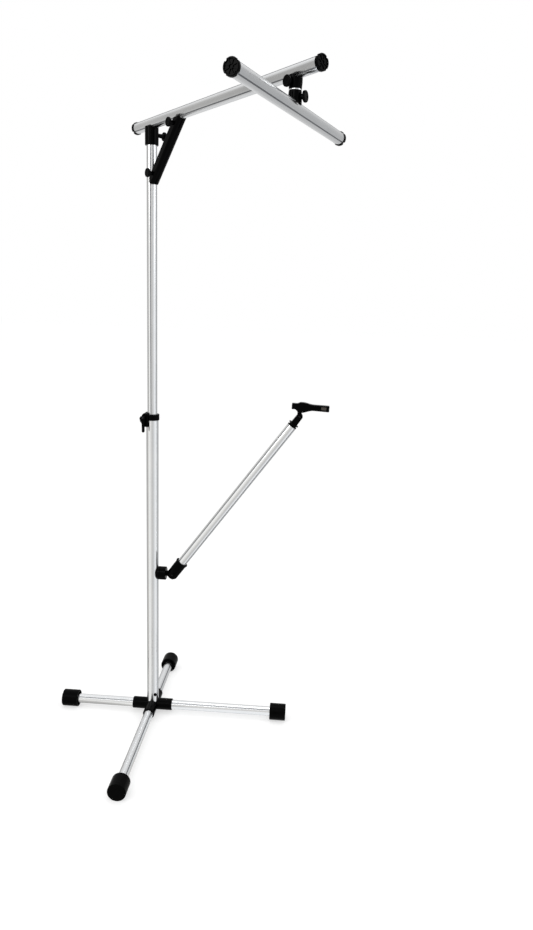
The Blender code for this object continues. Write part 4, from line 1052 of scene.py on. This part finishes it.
@dataclass
class Cap:
    """Lobed end cap; local Z runs out of the tube."""

    rim: Lobes = field(default_factory=lambda: Lobes(14.0, 3.4, 1.7, 0.8))
    thickness: float = 7.0
    plug: float = 18.0
    pocket_radius: float = 11.3
    pocket: float = 2.2
    ribs: int = 8
    rib_half: float = 0.5
    boss_outer: float = 4.2
    boss_inner: float = 2.8

    def build(self, stand: Stand, name: str, place: Matrix) -> None:
        """Build the cap with its pocketed and ribbed face.

        Args:
            stand: Takes the piece.
            name: Its name.
            place: Frame of the cap.
        """
        small = 1 - 1.2 / self.rim.radius
        stations = [(GAP, 1.0), (self.thickness - 1.2, 1.0), (self.thickness, small)]
        cap = Shape.lobed(self.rim, stations)
        floor = self.thickness - self.pocket
        cap.cut(Shape.turned([
            Corner(0, self.thickness + OVER), Corner(self.pocket_radius, self.thickness + OVER),
            Corner(self.pocket_radius, floor, 0.5), Corner(0, floor),
        ]))
        for index in range(self.ribs):
            rib = Shape.block(
                (self.boss_outer - 0.6, -self.rib_half, floor - 1.0),
                (self.pocket_radius + GAP, self.rib_half, self.thickness - 0.7),
            )
            cap.add(rib.moved(turn(360.0 * (index + 0.5) / self.ribs, "Z")))
        boss = Shape.turned([
            Corner(self.boss_outer, self.thickness - 0.4, 0.4), Corner(self.boss_outer, floor - 1.0),
            Corner(self.boss_inner, floor - 1.0), Corner(self.boss_inner, self.thickness - 0.4, 0.4),
        ], RING_STEPS)
        plug = TUBE.section.grown(-TUBE.wall - GAP)
        cap.add(boss, Shape.lobed(plug, [(-self.plug, 0.97), (1.0 - self.plug, 1.0), (1.0, 1.0)]))
        stand.mould(name, cap, place)


@dataclass
class Head:
    """Saddle on top of the column, with its knob."""

    radius: float = 16.0
    bottom: float = -48.0
    horn: float = -7.4
    bore_top: float = -17.7
    stud_height: float = -23.5
    knob: Knob = field(default_factory=lambda: Knob(boss=14.5, stud_tip=-3.5))

    def build(self, stand: Stand) -> None:
        """Build the saddle, measured from the boom's axis.

        Args:
            stand: Takes the pieces.
        """
        saddle = Shape.turned([
            Corner(0, self.horn), Corner(self.radius, self.horn, 0.5), Corner(self.radius, self.bottom, 1.5),
            Corner(0, self.bottom),
        ])
        knob_place = shift(0.0, self.radius + GAP, self.stud_height) @ TO_BACK
        saddle.cut(
            TUBE.seat(self.bottom - OVER, self.bore_top), TUBE.seat(-CUT_REACH, CUT_REACH).moved(TO_X),
            self.knob.bore().moved(knob_place),
        )
        stand.mould("head_saddle", saddle, stand.frames.boom)
        self.knob.build(stand, "head", stand.frames.boom @ knob_place)


@dataclass
class Brace:
    """Slanted bar between the column and the boom, measured from the boom's axis."""

    inner: float = -124.0
    outer: float = -144.7
    width: float = 22.0
    bulge: float = 4.0
    bottom: float = -135.0
    wrap: float = 7.0
    horn: float = -8.0
    slit: float = 0.8
    slit_run: float = 26.0
    studs: tuple = (("brace_upper", 115.0, -19.0), ("brace_lower", 20.5, -113.0))
    knob: Knob = field(default_factory=lambda: Knob(boss=9.0, stud_tip=-17.7))

    def build(self, stand: Stand) -> None:
        """Build the bar and its two knobs.

        Args:
            stand: Takes the pieces.
        """
        under = -TUBE.section.radius
        half = self.width / 2
        depth = (self.inner - self.outer) * math.cos(math.pi / 4)
        crown = (half ** 2 + self.bulge ** 2) / (2 * self.bulge)
        spread = math.degrees(math.asin(half / crown))
        bar = Shape.drawn([
            Corner(-half, 0, 1.2), Corner(half, 0, 1.2), Corner(half, depth),
            Sweep(0, depth + self.bulge - crown, 2 * spread, 32),
        ], 0.0, 2 * (under - self.outer))
        bar.moved(shift(z=self.inner) @ turn(45.0, "Y") @ turn(-90.0, "Z"))
        clear = 2 * self.bulge
        trim = Shape.drawn([
            Corner(self.wrap, self.bottom, 0.8), Corner(self.bottom - self.outer + clear, self.bottom),
            Corner(under - self.outer + clear, under), Corner(under - self.outer + clear, self.horn),
            Corner(under - self.inner, self.horn, 0.8), Corner(under - self.inner - clear, under),
            Corner(self.wrap, self.inner + self.wrap + clear),
        ], -self.width, self.width)
        bar.keep(trim.moved(TO_FRONT))
        bar.cut(TUBE.seat(self.bottom - OVER, -48.0), TUBE.seat(0.0, 200.0).moved(TO_X))
        run = under - self.inner
        bar.cut(
            Shape.block(
                (run - OVER, -self.slit, under - self.slit_run / 2 - OVER), (run + CUT_REACH, self.slit, 0.0)
            ),
            Shape.block(
                (0.0, -self.slit, self.bottom - OVER), (self.slit_run, self.slit, self.inner + self.slit_run)
            ),
        )
        for name, along, height in self.studs:
            place = shift(along, -half - GAP, height) @ TO_FRONT
            bar.cut(self.knob.bore().moved(place))
            self.knob.build(stand, name, stand.frames.boom @ place)
        stand.mould("brace_bar", bar, stand.frames.boom)


@dataclass
class CappedTube:
    """Length of tube with a cap at each end, along its frame's X axis."""

    node: str
    front_cap: str
    rear_cap: str
    front: float
    rear: float

    def build(self, stand: Stand, place: Matrix) -> None:
        """Build the tube and both caps.

        Args:
            stand: Takes the pieces.
            place: Frame of the tube.
        """
        cap = Cap()
        front = self.front - cap.thickness
        rear = self.rear + cap.thickness
        TUBE.show(stand, self.node, rear, front, place @ TO_X)
        cap.build(stand, self.front_cap, place @ TO_X @ shift(z=front))
        cap.build(stand, self.rear_cap, place @ turn(180.0, "Z") @ TO_X @ shift(z=-rear))


@dataclass
class Post:
    """Two tube clamps back to back on a swivel bolt."""

    half: float = 30.2
    ring_radius: float = 11.7
    ring_half: float = 1.0
    tube_radius: float = 12.6
    horn: float = 24.2
    floor: float = 2.2
    slit: float = 0.8
    stud_height: float = 11.6
    bolt_radius: float = 3.0
    bolt_head: float = 5.0
    knob: Knob = field(default_factory=lambda: Knob(boss=4.5, stud_tip=-21.8))

    def clamp(self, stand: Stand, name: str, place: Matrix) -> None:
        """Build one clamp; local Z runs from the ring to the tube.

        Args:
            stand: Takes the pieces.
            name: First part of their names.
            place: Frame of the clamp.
        """
        low = self.ring_half + GAP
        body = Shape.turned([
            Corner(0, self.horn), Corner(self.tube_radius, self.horn, 0.5),
            Corner(self.tube_radius, self.horn / 2), Corner(self.ring_radius, low, 0.5), Corner(0, low),
        ])
        knob_place = shift(0.0, -self.tube_radius - GAP, self.stud_height) @ TO_FRONT
        body.cut(
            TUBE.seat(-CUT_REACH, CUT_REACH).moved(shift(z=self.half) @ TO_X),
            Shape.rod(self.bolt_head + GAP, low + self.floor, self.half, RING_STEPS),
            Shape.rod(self.bolt_radius + GAP, -OVER, self.half, PIN_STEPS),
            Shape.block((-20.0, -self.slit, low + self.floor), (20.0, self.slit, self.half)),
            self.knob.bore().moved(knob_place),
        )
        stand.mould(name + "_saddle", body, place)
        self.knob.build(stand, name, place @ knob_place)

    def build(self, stand: Stand) -> None:
        """Build both clamps and the ring between them.

        Args:
            stand: Takes the pieces.
        """
        self.clamp(stand, "post_upper", stand.frames.post)
        self.clamp(stand, "post_lower", stand.frames.swivel)
        hole = self.bolt_radius + GAP
        ring = Shape.turned([
            Corner(self.ring_radius, self.ring_half, 0.4), Corner(self.ring_radius, -self.ring_half, 0.4),
            Corner(hole, -self.ring_half), Corner(hole, self.ring_half),
        ])
        stand.tube("post_ring", ring, stand.frames.post)


@dataclass
class Coupler:
    """Saddle on the lower column and the ring that holds the arm's tongue."""

    radius: float = 17.8
    start: float = 15.0
    face: float = 20.5
    boss_radius: float = 11.5
    boss_end: float = 31.0
    well_radius: float = 6.0
    well_floor: float = 24.0
    ring_end: float = 37.3
    grip: Lobes = field(default_factory=lambda: Lobes(17.8, 5.0, 1.5, 0.9))
    flange: float = 2.7
    neck_radius: float = 6.5
    bolt_hole: float = 3.3

    def build(self, stand: Stand) -> None:
        """Build the saddle and the ring.

        Args:
            stand: Takes the pieces.
        """
        place = stand.frames.coupler
        saddle = Shape.turned([
            Corner(0, self.boss_end), Corner(self.boss_radius, self.boss_end, 0.4),
            Corner(self.boss_radius, self.face), Corner(self.radius, self.face, 0.6),
            Corner(self.radius, self.start, 0.8), Corner(0, self.start),
        ]).moved(TO_X)
        saddle.cut(
            Shape.rod(Column().radius + GAP, -CUT_REACH, CUT_REACH),
            Shape.rod(self.well_radius, self.well_floor, self.boss_end + OVER, RING_STEPS).moved(TO_X),
            Shape.rod(self.bolt_hole, 0.0, self.boss_end, PIN_STEPS).moved(TO_X),
        )
        stand.mould("coupler_saddle", saddle, place)
        begin = self.face + GAP
        small = 1 - 1.0 / self.grip.radius
        stations = [(begin, small), (begin + 1.0, 1.0), (self.ring_end - 1.0, 1.0), (self.ring_end, small)]
        ring = Shape.lobed(self.grip, stations)
        cavity_end = self.boss_end + 2 * GAP + self.flange
        ring.cut(
            Shape.rod(self.boss_radius + 2 * GAP, begin - OVER, cavity_end),
            Shape.rod(self.neck_radius + GAP, begin, self.ring_end + OVER, RING_STEPS),
        )
        stand.mould("coupler_collar", ring, place @ TO_X)


@dataclass
class Elbow:
    """Tongue that turns in the coupler, and the socket that tilts on it."""

    flange_low: float = 31.3
    flange: float = 2.7
    flange_radius: float = 10.8
    neck_radius: float = 6.5
    neck_end: float = 40.2
    pivot: float = 55.5
    tongue_radius: float = 9.0
    tongue_width: float = 8.0
    shell: Lobes = field(default_factory=lambda: Lobes(15.4, 3.0, 1.3, 0.5))
    lip_radius: float = 17.2
    flare: float = 7.0
    mouth: float = 42.0
    stop: float = 17.0
    slot: float = 11.5
    end_depth: float = 10.0
    panel: float = 1.6
    panel_start: float = 7.0
    panel_narrow: float = 3.4
    panel_wide: float = 9.5
    pin_radius: float = 3.0
    pin_length: float = 29.0

    def build(self, stand: Stand) -> None:
        """Build the tongue, the socket and the pin.

        Args:
            stand: Takes the pieces.
        """
        top = self.flange_low + self.flange
        tongue = Shape.turned([
            Corner(0, self.neck_end), Corner(self.neck_radius, self.neck_end, 0.5),
            Corner(self.neck_radius, top), Corner(self.flange_radius, top, 0.4),
            Corner(self.flange_radius, self.flange_low, 0.4), Corner(0, self.flange_low),
        ], RING_STEPS).moved(TO_X)
        root = self.neck_end - self.flange - self.pivot
        eye = Shape.drawn([
            Corner(root, GAP - self.neck_radius), Corner(0, -self.tongue_radius), Sweep(0, 0, 180.0, 32),
            Corner(root, self.neck_radius - GAP),
        ], -self.tongue_width / 2, self.tongue_width / 2, 0.6)
        tongue.add(eye.moved(shift(self.pivot) @ TO_FRONT))
        tongue.cut(Shape.drill(self.pin_radius).moved(shift(self.pivot) @ TO_FRONT))
        stand.mould("elbow_tongue", tongue, stand.frames.coupler)
        self.build_socket(stand)
        pin = Shape.rod(self.pin_radius, -self.pin_length / 2, self.pin_length / 2, PIN_STEPS, 0.5)
        stand.hardware("elbow_pin", pin, stand.frames.elbow @ TO_FRONT, black=True)

    def build_socket(self, stand: Stand) -> None:
        """Build the socket with its slot, its bore and the panels in its cheeks.

        Args:
            stand: Takes the pieces.
        """
        wide = self.lip_radius / self.shell.radius
        socket = Shape.lobed(self.shell, [
            (-self.shell.radius, 1.0), (self.mouth - self.flare, 1.0), (self.mouth - 1.0, wide),
            (self.mouth, wide - 0.6 / self.shell.radius),
        ]).moved(TO_X)
        far = self.mouth + OVER
        side = self.shell.radius + GAP
        wide_side = 2 * self.lip_radius
        begin = self.mouth - self.flare
        trim = Shape.drawn([
            Corner(begin, -side), Corner(far, -wide_side), Corner(far, wide_side), Corner(begin, side),
            Corner(0, side), Sweep(0, 0, 180.0, 48),
        ], -wide_side, wide_side)
        for vert in trim.bm.verts:
            if vert.co.x < 0:
                vert.co.x *= self.end_depth / side
        socket.keep(trim.moved(TO_FRONT))
        gap = self.tongue_width / 2 + GAP
        socket.cut(
            TUBE.seat(self.stop, far).moved(TO_X),
            Shape.block((-CUT_REACH, -gap, -CUT_REACH), (self.slot, gap, CUT_REACH)),
            Shape.drill(self.pin_radius).moved(TO_FRONT),
        )
        for face in (TO_FRONT, TO_BACK):
            panel = Shape.drawn([
                Corner(self.panel_start, -self.panel_narrow, 1.5), Corner(far, -self.panel_wide),
                Corner(far, self.panel_wide), Corner(self.panel_start, self.panel_narrow, 1.5),
            ], self.shell.radius - self.panel, self.lip_radius + OVER)
            socket.cut(panel.moved(face))
        stand.mould("elbow_socket", socket, stand.frames.elbow)


@dataclass
class Arm:
    """Arm tube, its end swivel and the rest bar, measured from the elbow's pivot."""

    start: float = 17.3
    end: float = 515.0
    plug_radius: float = 9.2
    plug: float = 26.0
    ferrule_radius: float = 12.6
    ferrule: float = 2.6
    spindle_radius: float = 5.0
    neck_radius: float = 10.0
    neck: float = 3.4
    flange_radius: float = 13.6
    flange: float = 2.6
    yoke_root: float = 17.0
    yoke_radius: float = 7.8
    yoke_width: float = 16.0
    pivot: float = 547.0
    pin_radius: float = 2.0
    pin_length: float = 18.0
    tongue_radius: float = 6.6
    tongue_width: float = 6.4
    rest_width: float = 15.0
    rest_edge: float = 3.0
    rest_outline: tuple = (
        Corner(-22.0, 17.8, 2.0), Corner(-12.0, 17.8, 2.0), Corner(-7.4, 13.2, 1.5), Corner(-5.4, 10.0, 1.2),
        Corner(4.8, 10.0, 3.0), Corner(14.0, 12.6, 5.0), Corner(27.5, 17.8, 6.0), Corner(72.5, 17.4, 2.0),
        Corner(72.5, 33.0, 2.0), Corner(27.5, 32.6, 6.0), Corner(11.5, 36.6, 5.0), Corner(-1.5, 36.6, 3.0),
        Corner(-7.5, 32.8, 3.0), Corner(-22.0, 32.8, 2.0),
    )
    inset_outline: tuple = (
        Corner(52.0, 21.6, 1.0), Corner(65.0, 21.5, 1.0), Corner(65.0, 29.4, 1.0), Corner(52.0, 29.4, 1.0),
    )
    inset_depth: float = 0.7

    def build(self, stand: Stand) -> None:
        """Build the tube, ferrule, swivel, pin and rest bar.

        Args:
            stand: Takes the pieces.
        """
        place = stand.frames.elbow
        TUBE.show(stand, "arm_tube", self.start, self.end, place @ TO_X)
        seat = self.end + GAP
        top = seat + self.ferrule
        bore = self.spindle_radius + GAP
        ferrule = Shape.turned([
            Corner(self.ferrule_radius, top, 0.5), Corner(self.ferrule_radius, seat, 0.5),
            Corner(self.plug_radius, seat), Corner(self.plug_radius, self.end - self.plug, 0.8),
            Corner(bore, self.end - self.plug), Corner(bore, top),
        ])
        stand.mould("arm_ferrule", ferrule, place @ TO_X)
        self.build_swivel(stand, place, top + GAP)
        self.build_rest(stand)

    def build_swivel(self, stand: Stand, place: Matrix, low: float) -> None:
        """Build the turning yoke and its pin.

        Args:
            stand: Takes the pieces.
            place: Frame of the arm.
            low: Where the yoke begins along the arm.
        """
        flange_low = low + self.neck
        body_low = flange_low + self.flange
        clip_top = self.end - self.plug - GAP
        clip_low = clip_top - 2.2
        groove = self.spindle_radius - 0.8
        swivel = Shape.turned([
            Corner(0, body_low), Corner(self.flange_radius, body_low, 0.6),
            Corner(self.flange_radius, flange_low, 0.6), Corner(self.neck_radius, flange_low),
            Corner(self.neck_radius, low), Corner(self.spindle_radius, low),
            Corner(self.spindle_radius, clip_top + GAP), Corner(groove, clip_top + GAP),
            Corner(groove, clip_low - GAP), Corner(self.spindle_radius, clip_low - GAP),
            Corner(self.spindle_radius, clip_low - 6.0, 0.6), Corner(0, clip_low - 6.0),
        ]).moved(TO_X)
        root = flange_low + GAP - self.pivot
        yoke = Shape.drawn([
            Corner(root, -self.yoke_root / 2), Corner(0, -self.yoke_radius), Sweep(0, 0, 180.0, 32),
            Corner(root, self.yoke_root / 2),
        ], -self.yoke_width / 2, self.yoke_width / 2, 0.9)
        swivel.add(yoke.moved(shift(self.pivot) @ TO_FRONT))
        gap = self.tongue_width / 2 + GAP
        slot_low = self.pivot - self.tongue_radius - OVER
        swivel.cut(
            Shape.block((slot_low, -gap, -CUT_REACH), (self.pivot + CUT_REACH, gap, CUT_REACH)),
            Shape.drill(self.pin_radius).moved(shift(self.pivot) @ TO_FRONT),
        )
        stand.mould("rest_swivel", swivel, place)
        pin = Shape.rod(self.pin_radius, -self.pin_length / 2, self.pin_length / 2, PIN_STEPS, 0.5)
        stand.hardware("rest_pin", pin, stand.frames.rest @ TO_FRONT, black=True)

    def build_rest(self, stand: Stand) -> None:
        """Build the moulded rest bar with its hinge tongue.

        Args:
            stand: Takes the pieces.
        """
        half = self.rest_width / 2
        rest = Shape.drawn(self.rest_outline, -half, half, self.rest_edge)
        lift = 2 * self.tongue_radius
        tongue = Shape.drawn([
            Corner(-self.tongue_radius, 0), Sweep(0, 0, 180.0, 32), Corner(self.tongue_radius / 2, lift),
            Corner(-self.tongue_radius, lift),
        ], -self.tongue_width / 2, self.tongue_width / 2, 0.5)
        rest.add(tongue)
        rest.cut(Shape.drill(self.pin_radius))
        floor = half - self.inset_depth
        rest.cut(Shape.drawn(self.inset_outline, floor, half + OVER))
        for face in rest.bm.faces:
            spot = face.calc_center_median()
            if face.normal.z > 0.9 and spot.x > self.inset_outline[0].x and abs(spot.z - floor) < GAP:
                face.material_index = 1
        piece = stand.mould("rest_bar", rest, stand.frames.rest @ TO_FRONT)
        piece.data.materials.append(MATT_PLASTIC.material())


@dataclass
class Studio:
    """Floor, lights, surroundings and camera."""

    eye: tuple = (0.4012, -1.7427, 1.1296)
    right: tuple = (0.99713, 0.06735, 0.03471)
    up: tuple = (-0.04886, 0.22148, 0.97394)
    forward: tuple = (-0.05791, 0.97284, -0.22413)
    focal_pixels: float = 695.4
    sensor: float = 36.0
    floor_size: float = 60.0
    floor_glow: float = 0.57
    floor_tone: float = 0.8
    floor_shade: float = 0.5
    front_azimuth: float = -77.0
    ceiling: str = "#FAFAFA"
    ceiling_low: float = 0.35
    ceiling_high: float = 0.8
    walls: tuple = (
        (-180.0, "#E2E2E2"), (-150.0, "#D6D5D4"), (-126.0, "#C8C7C5"), (-106.0, "#A09F9D"),
        (-88.0, "#D2D0CD"), (-70.0, "#FFFEFB"), (-48.0, "#FAF9F6"), (-26.0, "#E4E2DF"), (0.0, "#CECDCB"),
        (16.0, "#D2D2D2"), (36.0, "#F0F1F2"), (58.0, "#FFFFFF"), (76.0, "#FAFBFD"), (94.0, "#C2C4C6"),
        (108.0, "#A7A8A9"), (126.0, "#C0C0C0"), (152.0, "#C9C9C9"), (180.0, "#E2E2E2"),
    )
    lamps: tuple = (
        ("key", (-1.9, -2.0, 2.3), 1.0, 10.0), ("fill", (2.6, -0.6, 2.1), 1.5, 7.0),
        ("front", (-0.5, -2.4, 2.6), 1.0, 7.0), ("top", (0.2, 0.4, 3.3), 1.4, 9.0),
    )

    def build(self, stand: Stand) -> None:
        """Set up the studio around the column's axis.

        Args:
            stand: Gives the column's place.
        """
        scene = bpy.context.scene
        scene.view_settings.view_transform = "Standard"
        axis = stand.frames.stand.translation * MM
        self.place_camera(axis)
        self.light(axis)
        self.surround()
        self.lay_floor(axis)

    def place_camera(self, axis: Vector) -> None:
        """Put the camera where the photograph was taken from.

        Args:
            axis: Foot of the column.
        """
        data = bpy.data.cameras.new("photo_camera")
        data.sensor_fit = "VERTICAL"
        data.sensor_height = self.sensor
        data.lens = self.focal_pixels * self.sensor / PHOTO_HEIGHT
        data.clip_end = 200.0
        camera = bpy.data.objects.new("photo_camera", data)
        columns = (Vector(self.right), Vector(self.up), -Vector(self.forward))
        turned = Matrix(columns).transposed().to_4x4()
        camera.matrix_world = Matrix.Translation(Vector(self.eye) + axis) @ turned
        bpy.context.scene.collection.objects.link(camera)
        bpy.context.scene.camera = camera

    def light(self, axis: Vector) -> None:
        """Hang large soft lamps that face the middle of the stand.

        Args:
            axis: Foot of the column.
        """
        middle = axis + Vector((0.1, -0.2, 0.8))
        for name, place, size, power in self.lamps:
            data = bpy.data.lights.new(name, "AREA")
            data.shape = "DISK"
            data.size = size
            data.energy = power
            lamp = bpy.data.objects.new(name, data)
            lamp.location = axis + Vector(place)
            lamp.rotation_euler = (middle - lamp.location).to_track_quat("-Z", "Y").to_euler()
            bpy.context.scene.collection.objects.link(lamp)

    def surround(self) -> None:
        """White to the camera; a room of bright and dim walls to all else."""
        world = bpy.data.worlds.new("studio")
        world.use_nodes = True
        tree = world.node_tree
        shade = tree.nodes["Background"]
        rays = add_node(tree, "ShaderNodeLightPath", {}, {})
        place = add_node(tree, "ShaderNodeTexCoord", {}, {})
        seen = add_node(
            tree, "ShaderNodeMix", {"data_type": "RGBA", 7: (1.0, 1.0, 1.0, 1.0)},
            {0: rays.outputs["Is Camera Ray"], 6: self.room_tone(tree, place.outputs["Generated"])},
        )
        tree.links.new(seen.outputs[2], shade.inputs["Color"])
        bpy.context.scene.world = world

    def room_tone(self, tree: bpy.types.NodeTree, heading: bpy.types.NodeSocket) -> bpy.types.NodeSocket:
        """Tone of the room in a direction from the stand.

        Args:
            tree: Node tree that takes the nodes.
            heading: Direction, as a vector.

        Returns:
            The tone, as a colour.
        """
        turned = add_node(
            tree, "ShaderNodeMapping", {"Rotation": (0.0, 0.0, -math.radians(self.front_azimuth))},
            {"Vector": heading},
        )
        parts = add_node(tree, "ShaderNodeSeparateXYZ", {}, {0: turned.outputs[0]})
        angle = add_node(
            tree, "ShaderNodeMath", {"operation": "ARCTAN2"}, {0: parts.outputs["Y"], 1: parts.outputs["X"]}
        )
        share = add_node(
            tree, "ShaderNodeMapRange", {1: -math.pi, 2: math.pi, 3: 0.0, 4: 1.0}, {0: angle.outputs[0]}
        )
        walls = add_node(tree, "ShaderNodeValToRGB", {}, {0: share.outputs[0]})
        ramp = walls.color_ramp
        while len(ramp.elements) < len(self.walls):
            ramp.elements.new(0.5)
        for element, (degrees, colour) in zip(ramp.elements, self.walls):
            element.position = 0.5 + degrees / 360.0
            element.color = linear(colour)
        height = add_node(
            tree, "ShaderNodeMapRange", {1: self.ceiling_low, 2: self.ceiling_high, 3: 0.0, 4: 1.0},
            {0: parts.outputs["Z"]},
        )
        return add_node(
            tree, "ShaderNodeMix", {"data_type": "RGBA", 7: linear(self.ceiling)},
            {0: height.outputs[0], 6: walls.outputs[0]},
        ).outputs[2]

    def lay_floor(self, axis: Vector) -> None:
        """Lay a white floor that keeps a faint shadow.

        Args:
            axis: Foot of the column.
        """
        shape = bmesh.new()
        bmesh.ops.create_grid(shape, x_segments=1, y_segments=1, size=self.floor_size / 2)
        mesh = bpy.data.meshes.new("floor")
        shape.to_mesh(mesh)
        shape.free()
        floor = bpy.data.objects.new("floor", mesh)
        bpy.context.scene.collection.objects.link(floor)
        finish = bpy.data.materials.new("white_paper")
        finish.use_nodes = True
        tree = finish.node_tree
        tree.nodes.remove(tree.nodes["Principled BSDF"])
        matt = add_node(tree, "ShaderNodeBsdfDiffuse", {"Color": (*[self.floor_tone] * 3, 1.0)}, {})
        shade = add_node(tree, "ShaderNodeBsdfDiffuse", {"Color": (*[self.floor_shade] * 3, 1.0)}, {})
        glow = add_node(tree, "ShaderNodeEmission", {"Strength": self.floor_glow}, {})
        both = add_node(tree, "ShaderNodeAddShader", {}, {0: shade.outputs[0], 1: glow.outputs[0]})
        place = add_node(tree, "ShaderNodeNewGeometry", {}, {})
        offset = add_node(
            tree, "ShaderNodeVectorMath", {"operation": "SUBTRACT", 1: axis}, {0: place.outputs["Position"]}
        )
        mirrored = add_node(tree, "ShaderNodeEmission", {}, {0: self.room_tone(tree, offset.outputs[0])})
        rays = add_node(tree, "ShaderNodeLightPath", {}, {})
        seen = add_node(
            tree, "ShaderNodeMixShader", {},
            {0: rays.outputs["Is Camera Ray"], 1: matt.outputs[0], 2: both.outputs[0]},
        )
        shown = add_node(
            tree, "ShaderNodeMixShader", {},
            {0: rays.outputs["Is Glossy Ray"], 1: seen.outputs[0], 2: mirrored.outputs[0]},
        )
        tree.links.new(shown.outputs[0], tree.nodes["Material Output"].inputs["Surface"])
        mesh.materials.append(finish)


def main() -> None:
    """Build the stand from its base upward, then the studio."""
    logging.basicConfig(level=logging.INFO, format="%(name)s %(message)s")
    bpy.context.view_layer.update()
    stand = Stand()
    stand.dress_solids()
    Base().build(stand)
    Column().build(stand)
    HeightClamp().build(stand)
    Head().build(stand)
    Brace().build(stand)
    CappedTube("boom_tube", "boom_front_cap", "boom_rear_cap", 591.0, -75.0).build(stand, stand.frames.boom)
    Post().build(stand)
    CappedTube("cross_bar", "bar_near_cap", "bar_far_cap", 240.0, -240.0).build(stand, stand.frames.bar)
    Coupler().build(stand)
    Elbow().build(stand)
    Arm().build(stand)
    Studio().build(stand)


if __name__ == "__main__":
    main()
